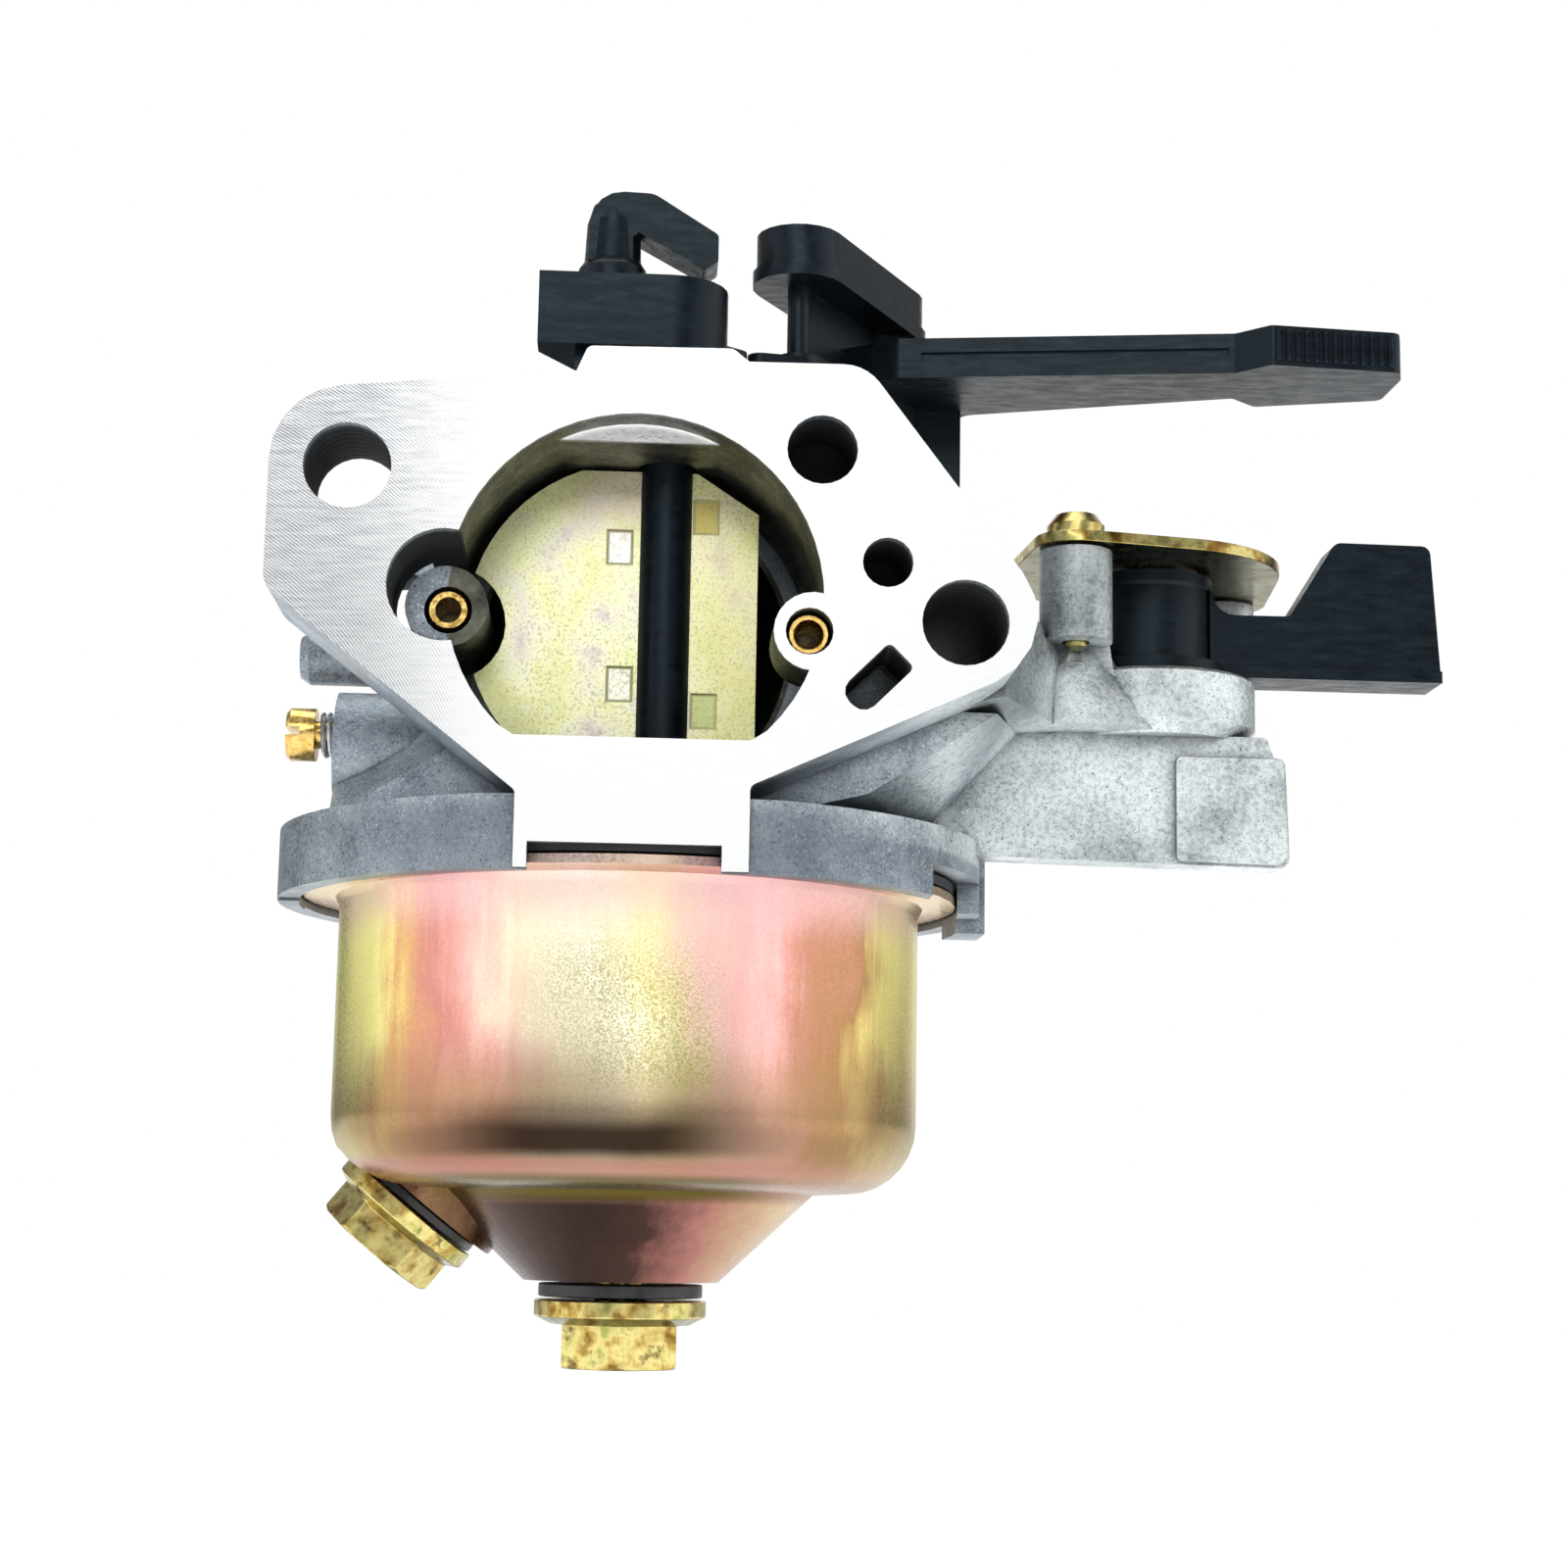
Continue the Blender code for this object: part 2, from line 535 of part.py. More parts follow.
def float_bowl():
    """A pressed cup with a flat on its left for the drain bolt."""
    inner_r = BOWL_R - BOWL_WALL
    outside = [(0, BOWL_FLOOR)] + bowl_profile(0.0)
    outside += [(BOWL_R, BOWL_FLANGE_BOTTOM - 1.2), (BOWL_R + 0.5, BOWL_FLANGE_BOTTOM - 0.3),
                (BOWL_R + 1.4, BOWL_FLANGE_BOTTOM), (BOWL_FLANGE_R, BOWL_FLANGE_BOTTOM),
                (BOWL_FLANGE_R, BOWL_FLANGE_TOP), (0, BOWL_FLANGE_TOP)]
    inside = [(0, BOWL_FLOOR + BOWL_WALL)] + bowl_profile(BOWL_WALL)
    inside += [(inner_r, BOWL_FLANGE_TOP - 1.8), (inner_r + 0.2, BOWL_FLANGE_TOP - 0.8),
               (inner_r + 1.0, BOWL_FLANGE_TOP), (inner_r + 1.0, BOWL_FLANGE_TOP + 2),
               (0, BOWL_FLANGE_TOP + 2)]
    cup = lathe(outside, "Z", BOWL_AXIS, 44)
    room = lathe(inside, "Z", BOWL_AXIS, 44)
    cup = unite(cup, drain_cylinder(DRAIN_BOSS_R, -9.0, 0.0, 32))
    cup = cut(cup, drain_cylinder(DRAIN_BOSS_R + 1.0, 0.0, 9.0, 32))
    room = unite(room, drain_cylinder(DRAIN_BOSS_R - BOWL_WALL, -12.0, -BOWL_WALL, 32))
    room = cut(room, drain_cylinder(DRAIN_BOSS_R + 2.0, -BOWL_WALL, 9.0, 32))
    bolt_hole = cylinder(BOWL_AXIS, BOLT_HOLE_R, "Z", BOWL_FLOOR - 3, BOWL_FLOOR + 3, 24)
    cup = cut(cup, room, drain_cylinder(BOLT_HOLE_R, -4.0, 2.0, 20), bolt_hole)
    return finish(cup, "float_bowl", "yellow_zinc")


def drain_cylinder(radius, low, high, steps):
    """A cylinder on the drain bolt's axis; heights count outwards from the boss face."""
    return aim(cylinder((0, 0), radius, "Z", low, high, steps), DRAIN_FACE, DRAIN_DIR)


def ring(name, slot, inner_r, outer_r, low, high, centre, steps=40):
    profile = [(inner_r, low), (outer_r, low), (outer_r, high), (inner_r, high)]
    return finish(lathe(profile, "Z", centre, steps), name, slot)


def flange_bolt(name, origin, direction, flange_r, shank, height):
    """A flanged hexagon bolt: the head points along direction, and the shank the other way."""
    flange = lathe([(0, 0), (flange_r, 0), (flange_r, 1.7), (flange_r - 1.6, 2.5), (0, 2.6)],
                   "Z", (0, 0), 32)
    bolt = unite(flange, hexagon(HEX_FLATS / 2, 2.2, height, 0.5),
                 cylinder((0, 0), BOLT_SHANK_R, "Z", -shank, 0.5, 20))
    return finish(aim(bolt, origin, direction), name, "yellow_zinc")


def chamber_fittings():
    """The gasket under the lid, and the two bolts with their sealing washers."""
    ring("bowl_gasket", "black_rubber", 31.6, BOWL_FLANGE_R - 0.1, BOWL_FLANGE_TOP + GAP,
         GASKET_SEAT - GAP, BOWL_AXIS, 56)
    washer_top = BOWL_FLOOR - GAP
    ring("bowl_bolt_washer", "black_rubber", BOLT_HOLE_R, 8.7, washer_top - 1.4, washer_top,
         BOWL_AXIS, 32)
    down = Vector((0, 0, -1))
    seat = Vector((BOWL_AXIS[0], BOWL_AXIS[1], washer_top - 1.4 - GAP))
    flange_bolt("bowl_bolt", seat, down, 9.1, 14.0, 7.1)
    washer = lathe([(BOLT_HOLE_R, 0.2), (7.8, 0.2), (7.8, 1.2), (BOLT_HOLE_R, 1.2)], "Z", (0, 0), 32)
    finish(aim(washer, DRAIN_FACE, DRAIN_DIR), "drain_washer", "black_rubber")
    flange_bolt("drain_bolt", DRAIN_FACE + DRAIN_DIR * 1.4, DRAIN_DIR, 8.2, 6.0, 6.0)


def jets():
    """The four brass jets and the pilot jet's holder."""
    nozzle = lathe([(1.2, -44), (2.3, -44), (2.3, -13), (1.9, -12), (1.9, -6.6), (1.2, -6.6)],
                   "Z", BOWL_AXIS, 18)
    finish(nozzle, "main_nozzle", "brass")
    jet = lathe([(0.6, -49.8), (2.6, -49.8), (2.6, -45.2), (1.6, -44.4), (0.6, -44.4)],
                "Z", BOWL_AXIS, 18)
    finish(jet, "main_jet", "brass")
    left = lathe([(1.25, 6.9), (1.95, 6.9), (1.95, 13.5), (1.25, 13.5)], "Y", (-18.6, -0.4), 20)
    finish(left, "pilot_air_jet", "brass")
    right = lathe([(1.1, 2.6), (1.5, 1.6), (2.0, 1.6), (2.0, 6.6), (1.1, 6.6)], "Y",
                  (17.0, -3.0), 20)
    finish(right, "main_air_jet", "brass")
    holder = lathe([(0, 15.4), (2.9, 15.4), (2.9, 20.4), (4.2, 20.4), (4.2, 22.6), (3.2, 23.6),
                    (0, 23.6)], "Z", PILOT_JET, 24)
    finish(holder, "pilot_jet", "black_plastic")


def float_parts():
    """The float on its hinge pin, hanging as it does with no fuel, and the needle it lifts."""
    y, z = FLOAT_PIVOT
    steps = 24
    outer = arc(BOWL_AXIS[0], BOWL_AXIS[1], 26.2, 125, 415, steps)
    inner = arc(BOWL_AXIS[0], BOWL_AXIS[1], 11.5, 415, 125, steps)
    pontoon = prism(outer + inner, "Z", z - 16.5, z - 2.2)
    arms = [prism([(side * 3.6, y - 12), (side * 12.4, 54.4), (side * 12.4, 50.2),
                   (side * 15.5, 46.0), (side * 10.0, 44.5), (side * 1.2, y - 12)], "Z",
                  z - 3.4, z - 1.6) for side in (-1, 1)]
    bridge = box((-4.2, y - 13.0, z - 3.4), (4.2, y + 1.0, z - 1.4))
    barrel = cylinder((y, z), 1.9, "X", -4.5, 4.5, 20)
    body = unite(pontoon, bridge, *arms)
    body = unite(body, barrel)
    body = cut(body, cylinder((y, z), 1.1, "X", -6.0, 6.0, 16))
    pivot = Vector((0.0, y, z)) * MM
    droop = Matrix.Translation(pivot) @ Matrix.Rotation(FLOAT_DROOP, 4, "X")
    body.data.transform(droop @ Matrix.Translation(-pivot))
    finish(body, "float", "float_plastic", (0.0, y, z))
    finish(cylinder((y, z), 0.8, "X", -8.6, 8.6, 14), "float_pin", "steel")
    tip = z - 1.2 + GAP - (y - NEEDLE_Y) * math.tan(FLOAT_DROOP)
    needle = lathe([(0, tip), (1.0, tip), (1.0, tip + 1.2), (2.0, tip + 1.6), (2.0, tip + 4.6),
                    (0.5, tip + 6.6), (0, tip + 6.6)], "Z", (0.0, NEEDLE_Y), 16)
    finish(needle, "float_needle", "steel", (0.0, NEEDLE_Y, tip))


# ---------------------------------------------------------------- choke

def choke_shaft():
    """One moulding: the shaft, the block on top, its drive arm, its foot and its finger."""
    x, y = CHOKE_AXIS
    low, high = CHOKE_BLOCK_Z
    shaft = cylinder(CHOKE_AXIS, CHOKE_SHAFT_R, "Z", -18.6, low + 1, 24)
    outline = [(-10.7, 8.1)] + arc(x, y, 5.9, -90, 90, 12) + [(-5.2, 20.3), (-10.7, 11.4)]
    block = prism(outline, "Z", low, high)
    tongue = prism(capsule(CHOKE_AXIS, toward(CHOKE_AXIS, LEVER_PIVOT, 7.2), 3.2, 1.4), "Z",
                   low + 0.1, low + 2.3)
    foot = box((-6.9, 10.2, low - 2.3), (-5.0, 13.0, low + 0.5))
    collar = lathe([(0, high - 0.5), (3.6, high - 0.5), (3.6, 38.9), (3.0, 39.8), (2.8, 44.0),
                    (2.2, 46.0), (0, 46.7)], "Z", (-3.4, 17.4), 24)
    finger = prism(rounded([(-6.0, 39.4, 0), (-1.3, 39.4, 0), (-1.3, 42.9, 0.5), (6.4, 38.7, 0.7),
                            (7.7, 39.7, 0.5), (7.7, 42.6, 0.7), (0.8, 46.9, 2.5),
                            (-5.7, 47.1, 3.4)], 4), "Y", 15.0, 19.8)
    slot = box((-16.0, y - 0.4 - GAP, -CHOKE_FLAT + 0.1), (16.0, y + 0.4 + GAP, CHOKE_FLAT - 0.1))
    shaft = cut(unite(shaft, block, tongue, foot, collar, finger), slot)
    return finish(shaft, "choke_shaft", "black_plastic", (x, y, 0.0))


def choke_plate():
    """The choke plate: round on the left, straight on the right, notched for the jet boss."""
    x, y = CHOKE_AXIS
    half = CHOKE_FLAT - GAP - 0.1
    radius = CHOKE_BORE_R - 1.2
    top = math.degrees(math.asin(half / radius))
    outline = arc(0, 0, radius, 180 - top, 180 + top, 24)
    outline += [(6.0, -half), (12.4, -12.0), (12.4, 12.0), (6.0, half)]
    plate = prism(outline, "Y", y - 0.4, y + 0.4)
    plate = cut(plate, cylinder((-19.2, -0.3), 6.0, "Y", y - 2, y + 2, 28))
    for px, pz in ((-1.8, 8.2), (-1.5, -6.1), (7.0, 11.6), (7.1, -8.7)):
        dimple = box((px - 1.3, y - 1.0, pz - 1.8), (px + 1.3, y - 0.15, pz + 1.8))
        plate = cut(plate, dimple)
    return finish(plate, "choke_plate", "yellow_zinc", (x, y, 0.0))


def lever_bar_outline():
    """The choke handle from above: a wide root, a slim bar and a broad finger tip."""
    return rounded([(21.0, 28.5, 2.0), (27.5, 23.6, 1.0), (63.2, 18.0, 0.6), (66.4, 14.8, 0.8),
                    (80.4, 16.0, 1.2), (81.2, 18.5, 1.0), (81.0, 26.0, 1.2), (67.8, 29.8, 0.8),
                    (64.8, 27.0, 0.6), (36.4, 36.6, 2.0), (34.0, 42.6, 3.0), (23.0, 43.0, 3.0)], 3)


def choke_lever():
    """One moulding: the rod in its boss, the upper arm, the handle and the drive tongue."""
    low, high = LEVER_BAR_Z
    arm_low, arm_high = LEVER_ARM_Z
    rod = cylinder(LEVER_PIVOT, LEVER_ROD_R, "Z", 15.0, arm_low + 1, 20)
    tongue = prism(capsule(LEVER_PIVOT, toward(LEVER_PIVOT, CHOKE_AXIS, 4.4), 2.4, 1.4), "Z",
                   CHOKE_BLOCK_Z[0] + 0.5, CHOKE_BLOCK_Z[0] + 2.4)
    bar = prism(lever_bar_outline(), "Z", low, high)
    skirt = box((24.2, 35.6, LEVER_SKIRT_BOTTOM), (35.8, 38.4, low + 0.6))
    column = cylinder(LEVER_ELBOW, 4.3, "Z", high - 1.0, arm_high - 0.3, 28)
    rim = prism(capsule(LEVER_PIVOT, LEVER_ELBOW, 5.0, 4.8), "Z", arm_low, arm_low + 1.6)
    arm = prism(capsule(LEVER_PIVOT, LEVER_ELBOW, 4.6, 4.4), "Z", arm_low + 0.6, arm_high)
    near = Vector(LEVER_ELBOW)
    far = Vector(LEVER_PIVOT)
    across = (far - near).orthogonal().normalized() * 0.9
    web = hull([(p.x, p.y, z) for z in (low, arm_low + 0.8)
                for p in (near + across, near - across, far + across, far - across)])
    root = prism(capsule(LEVER_PIVOT, LEVER_ELBOW, 2.4, 4.6), "Z", CHOKE_BLOCK_Z[0] + 0.5,
                 low + 0.4)
    lever = unite(bar, skirt, column, rim, arm, web, rod, tongue, root)
    groove = prism([(30.0, 21.9), (62.5, 16.9), (62.5, 18.5), (30.0, 23.6)], "Z", 32.3, 33.2)
    return finish(cut(lever, groove), "choke_lever", "black_plastic", (*LEVER_PIVOT, 0.0))


# ---------------------------------------------------------------- throttle

def throttle_parts():
    """The throttle shaft, its plate and screw, its seal and its lever."""
    x, y = THROTTLE_AXIS
    low, high = THROTTLE_LEVER_Z
    pivot = (x, y, 0.0)
    shaft = cylinder(THROTTLE_AXIS, THROTTLE_SHAFT_R, "Z", -17.7, high + 1.0, 24)
    reach = THROTTLE_BORE_R - 0.3
    slot = box((x - 5, y - 0.5 - GAP, -reach - GAP), (x + 5, y + 0.5 + GAP, reach + GAP))
    screw_hole = cylinder((x, 0), 1.5, "Y", y - 5, y + 5, 14)
    shaft = cut(shaft, slot, screw_hole)
    finish(shaft, "throttle_shaft", "steel", pivot)
    plate = cylinder((x, 0), reach, "Y", y - 0.5, y + 0.5, 48)
    plate = cut(plate, cylinder((x, 0), 1.5, "Y", y - 5, y + 5, 14))
    finish(plate, "throttle_plate", "brass", pivot)
    front = y - THROTTLE_SHAFT_R - GAP
    screw = lathe([(0, front - 1.6), (1.9, front - 1.5), (2.6, front - 0.8), (2.6, front),
                   (1.2, front), (1.2, y + 3.4), (0, y + 3.4)], "Y", (x, 0), 16)
    screw = cut(screw, box((x - 0.35, front - 2, -3), (x + 0.35, front - 0.9, 3)))
    finish(screw, "throttle_screw", "steel", pivot)
    ring("throttle_seal", "black_rubber", THROTTLE_SHAFT_R + GAP, 5.6,
         THROTTLE_BOSS_TOP + GAP, low - GAP, THROTTLE_AXIS, 28)
    hub = cylinder(THROTTLE_AXIS, 6.4, "Z", low, high, 28)
    arm = prism(capsule(THROTTLE_AXIS, (-15.6, 65.0), 5.0, 3.2), "Z", low + 0.4, low + 3.4)
    flag = hull([(-13.4, 62.4, low + 1.0), (-4.4, 58.4, low + 1.0), (-12.6, 64.2, low + 1.0),
                 (-3.6, 60.2, low + 1.0), (-13.4, 62.4, low + 7.0), (-6.4, 59.3, low + 7.0),
                 (-12.6, 64.2, low + 7.0), (-5.6, 61.1, low + 7.0)])
    stop = box((-1.4, 47.6, low - 5.4), (1.6, 50.0, low + 1.6))
    stop = unite(stop, box((-1.4, 47.6, low + 0.2), (1.6, 55.0, low + 2.2)))
    lever = unite(hub, arm, flag, stop)
    holes = [cylinder(centre, radius, "Z", low - 1, high + 6, 14)
             for centre, radius in (((-15.6, 65.0), 1.1), ((-9.6, 65.4), 0.8))]
    bore = cylinder(THROTTLE_AXIS, THROTTLE_SHAFT_R + GAP, "Z", low - 1, high + 9, 24)
    finish(cut(lever, bore, *holes), "throttle_lever", "black_plastic", pivot)


def slotted_screw(name, slot, axis, centre, head, tip, head_r, shank_r, depth, point_r):
    """A cheese-head screw from head to tip along +axis; head is (outer, inner) heights."""
    screw = lathe([(0, head[0]), (head_r - 0.4, head[0]), (head_r, head[0] + 0.4),
                   (head_r, head[1]), (shank_r, head[1]), (shank_r, tip - 3.0),
                   (point_r, tip), (0, tip)], axis, centre, 20)
    a, b = centre
    half = 0.45
    corners = [(a - 6, b - half), (a + 6, b - half), (a + 6, b + half), (a - 6, b + half)]
    screw = cut(screw, prism(corners, axis, head[0] - 1, head[0] + depth))
    return finish(screw, name, slot, along(axis, a, b, head[0]))


def adjusting_screws():
    """The mixture screw on the left and the idle-stop screw on top, each with its spring."""
    face = MIXTURE_FACE - 0.2
    slotted_screw("mixture_screw", "brass", "X", MIXTURE_AXIS, (-36.0, -33.0), -21.0, 2.8, 1.45,
                  1.5, 0.5)
    spring = coil("X", MIXTURE_AXIS, 2.15, 0.3, -33.0 + GAP - 0.1, face - 0.2, 2.2)
    finish(spring, "mixture_spring", "steel")
    lug_face = -13.2
    slotted_screw("idle_screw", "yellow_zinc", "X", IDLE_SCREW, (-22.6, -19.6), -1.8, 3.2, 1.45,
                  1.4, 1.0)
    spring = coil("X", IDLE_SCREW, 2.2, 0.35, -19.6 + 0.2, lug_face - 0.3, 4.2)
    finish(spring, "idle_spring", "steel")


# ---------------------------------------------------------------- fuel valve

def fuel_valve():
    """The tap: rubber packing, lever, wave spring, cover plate, its two screws, the inlet."""
    x, y = VALVE_AXIS
    packing = lathe([(0, -3.6), (8.4, -3.6), (8.4, -1.4), (0, -1.4)], "Z", VALVE_AXIS, 28)
    ports = [cylinder((x + 4.4 * math.cos(t), y + 4.4 * math.sin(t)), 1.3, "Z", -5, 0, 12)
             for t in (0.0, math.pi / 2, math.pi, 1.5 * math.pi)]
    finish(cut(packing, *ports), "valve_packing", "black_rubber")
    hub = lathe([(0, -1.1), (8.3, -1.1), (8.3, 1.2), (6.6, 1.6), (6.6, 9.4), (6.9, 9.8),
                 (6.9, 11.0), (5.8, 11.0), (5.8, 9.6), (0, 9.6)], "Z", VALVE_AXIS, 32)
    handle = prism(rounded([(x + 6.2, 0.0, 0), (88.7, 0.0, 0.6), (87.7, 15.4, 1.0),
                            (77.1, 15.5, 1.2), (71.9, 7.0, 0.6), (63.8, 6.95, 2.6),
                            (x + 6.2, 10.4, 0)], 4), "Y", y - 3.0, y + 2.2)
    lip = box((x + 6.4, y - 3.4, -0.1), (88.7, y + 3.4, 1.2))
    finish(unite(hub, handle, lip), "valve_lever", "black_plastic", (x, y, 0.0))
    spring = lathe([(3.0, 9.9), (5.4, 10.7), (5.4, 11.2), (3.0, 10.4)], "Z", VALVE_AXIS, 28)
    finish(spring, "valve_spring", "steel")
    rim = circle(x - 0.6, y + 1.0, VALVE_PLATE_R, 48)
    for post, lobe_r in zip(VALVE_POSTS, (4.5, 5.2)):
        rim += circle(post[0], post[1], lobe_r, 20)
    plate = hull([(a, b, z) for a, b in rim for z in VALVE_PLATE_Z])
    plate = cut(plate, *[cylinder(post, 1.9, "Z", 9, 16, 16) for post in VALVE_POSTS])
    finish(plate, "valve_plate", "yellow_zinc")
    for label, post in zip(("front", "rear"), VALVE_POSTS):
        seat = VALVE_PLATE_Z[1] + GAP
        screw = lathe([(0, 0.2), (1.2, 0.9), (1.2, seat), (3.1, seat), (3.1, seat + 1.0),
                       (2.2, seat + 2.2), (0, seat + 2.4)], "Z", post, 18)
        px, py = post
        cross = [box((px - 1.6, py - 0.3, seat + 1.2), (px + 1.6, py + 0.3, seat + 3)),
                 box((px - 0.3, py - 1.6, seat + 1.2), (px + 0.3, py + 1.6, seat + 3))]
        finish(cut(screw, *cross), "valve_screw_" + label, "yellow_zinc")
    tube = lathe([(1.5, 43.2), (2.3, 43.2), (2.3, 46.0), (2.9, 46.4), (2.9, 55.0), (3.4, 55.6),
                  (2.9, 58.0), (3.4, 58.6), (2.6, 61.0), (1.5, 61.0)], "Y", (x, -4.2), 18)
    finish(tube, "fuel_inlet", "steel")


def main():
    for obj in list(bpy.data.objects):
        bpy.data.objects.remove(obj, do_unlink=True)
    carburetor_body()
    float_bowl()
    chamber_fittings()
    jets()
    float_parts()
    choke_shaft()
    choke_plate()
    choke_lever()
    throttle_parts()
    adjusting_screws()
    fuel_valve()


main()
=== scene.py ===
import math

import bmesh
import bpy
from mathutils import Matrix, Vector


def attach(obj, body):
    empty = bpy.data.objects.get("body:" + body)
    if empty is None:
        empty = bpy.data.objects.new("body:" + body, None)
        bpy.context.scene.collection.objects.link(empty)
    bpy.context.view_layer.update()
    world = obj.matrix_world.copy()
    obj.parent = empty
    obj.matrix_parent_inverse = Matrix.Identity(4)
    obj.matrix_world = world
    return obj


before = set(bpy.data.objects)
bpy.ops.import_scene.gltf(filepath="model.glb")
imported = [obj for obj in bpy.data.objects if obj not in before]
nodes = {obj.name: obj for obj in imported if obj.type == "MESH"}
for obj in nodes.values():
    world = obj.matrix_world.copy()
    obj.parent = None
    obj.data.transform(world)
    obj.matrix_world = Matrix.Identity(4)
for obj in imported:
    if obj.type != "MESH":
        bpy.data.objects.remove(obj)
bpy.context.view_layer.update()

MM = 0.001
# Places on the part, in millimetres, in the CAD's own frame.
BODY_LENGTH = 72.0
INLET_END = 24.4
AXIS = (0.0, 0.0)
JET_POST = (-18.8, 0.0)
JET_POST_RADIUS = 4.4
STUD_MIDDLE_X = 2.0
# x, z, radius and depth of the holes in the air-cleaner face; the two stud holes go right through
HOLES = ((-28.4, 12.2, 4.3, 90.0), (32.3, -1.7, 4.3, 90.0), (18.0, 15.3, 3.5, 10.4),
         (24.6, 4.1, 2.5, 10.4), (23.6, -7.6, 3.4, 10.4), (-18.6, 0.6, 5.6, 17.0))
# x, z and colour of the dimples stamped in the choke plate, and half their size
DIMPLES = ((-1.8, 8.2, (0.95, 0.95, 0.90)), (-1.5, -6.1, (0.93, 0.93, 0.78)),
           (7.0, 11.6, (0.52, 0.42, 0.10)), (7.1, -8.7, (0.50, 0.62, 0.30)))
DIMPLE_HALF = (1.3, 1.8)
BOWL_REACH = 32.0
# x where the painted dark reflections low on the bowl are darkest
BOWL_SHADE_X = -3.0

# Shading breaks where two faces meet at more than SHARP_DEGREES, and an edge is rounded where
# they meet at more than ROUNDED_DEGREES.
SHARP_DEGREES = 35
ROUNDED_DEGREES = 32
WELD_METRES = 1e-6

EYE_MM = (0.9, -260.0, -60.1)
PAN_TILT_ROLL = (3.05, 9.15, 1.0)
SENSOR_MM = 36.0
LENS_MM = 62.775

FLOOR_REACH = 6
FLOOR_HEIGHT = -0.30
FLOOR_GLOW = 0.68
ROOM_STRENGTH = 0.42
# how bright the room is, from straight below to straight above
ROOM_LEVELS = ((0.0, 0.30), (0.42, 0.20), (0.52, 0.42), (0.70, 0.85), (1.0, 1.0))
LIGHTS_AIM = (0.01, 0.03, -0.01)
# name, position, width, height and power of each lamp, in metres and watts
LIGHTS = (("key", (-0.12, -0.75, 0.42), 0.50, 0.36, 2.1),
          ("front_strip", (0.10, -0.80, -0.02), 0.16, 0.70, 0.42),
          ("left_card", (-0.80, -0.15, 0.05), 1.00, 0.90, 2.6),
          ("right_card", (0.80, -0.15, 0.10), 1.00, 0.90, 2.8),
          ("top", (0.0, 0.10, 0.80), 0.7, 0.5, 3.0),
          ("back", (0.1, 0.80, 0.25), 0.9, 0.7, 1.5))


# ------------------------------------------------------------------ node helpers

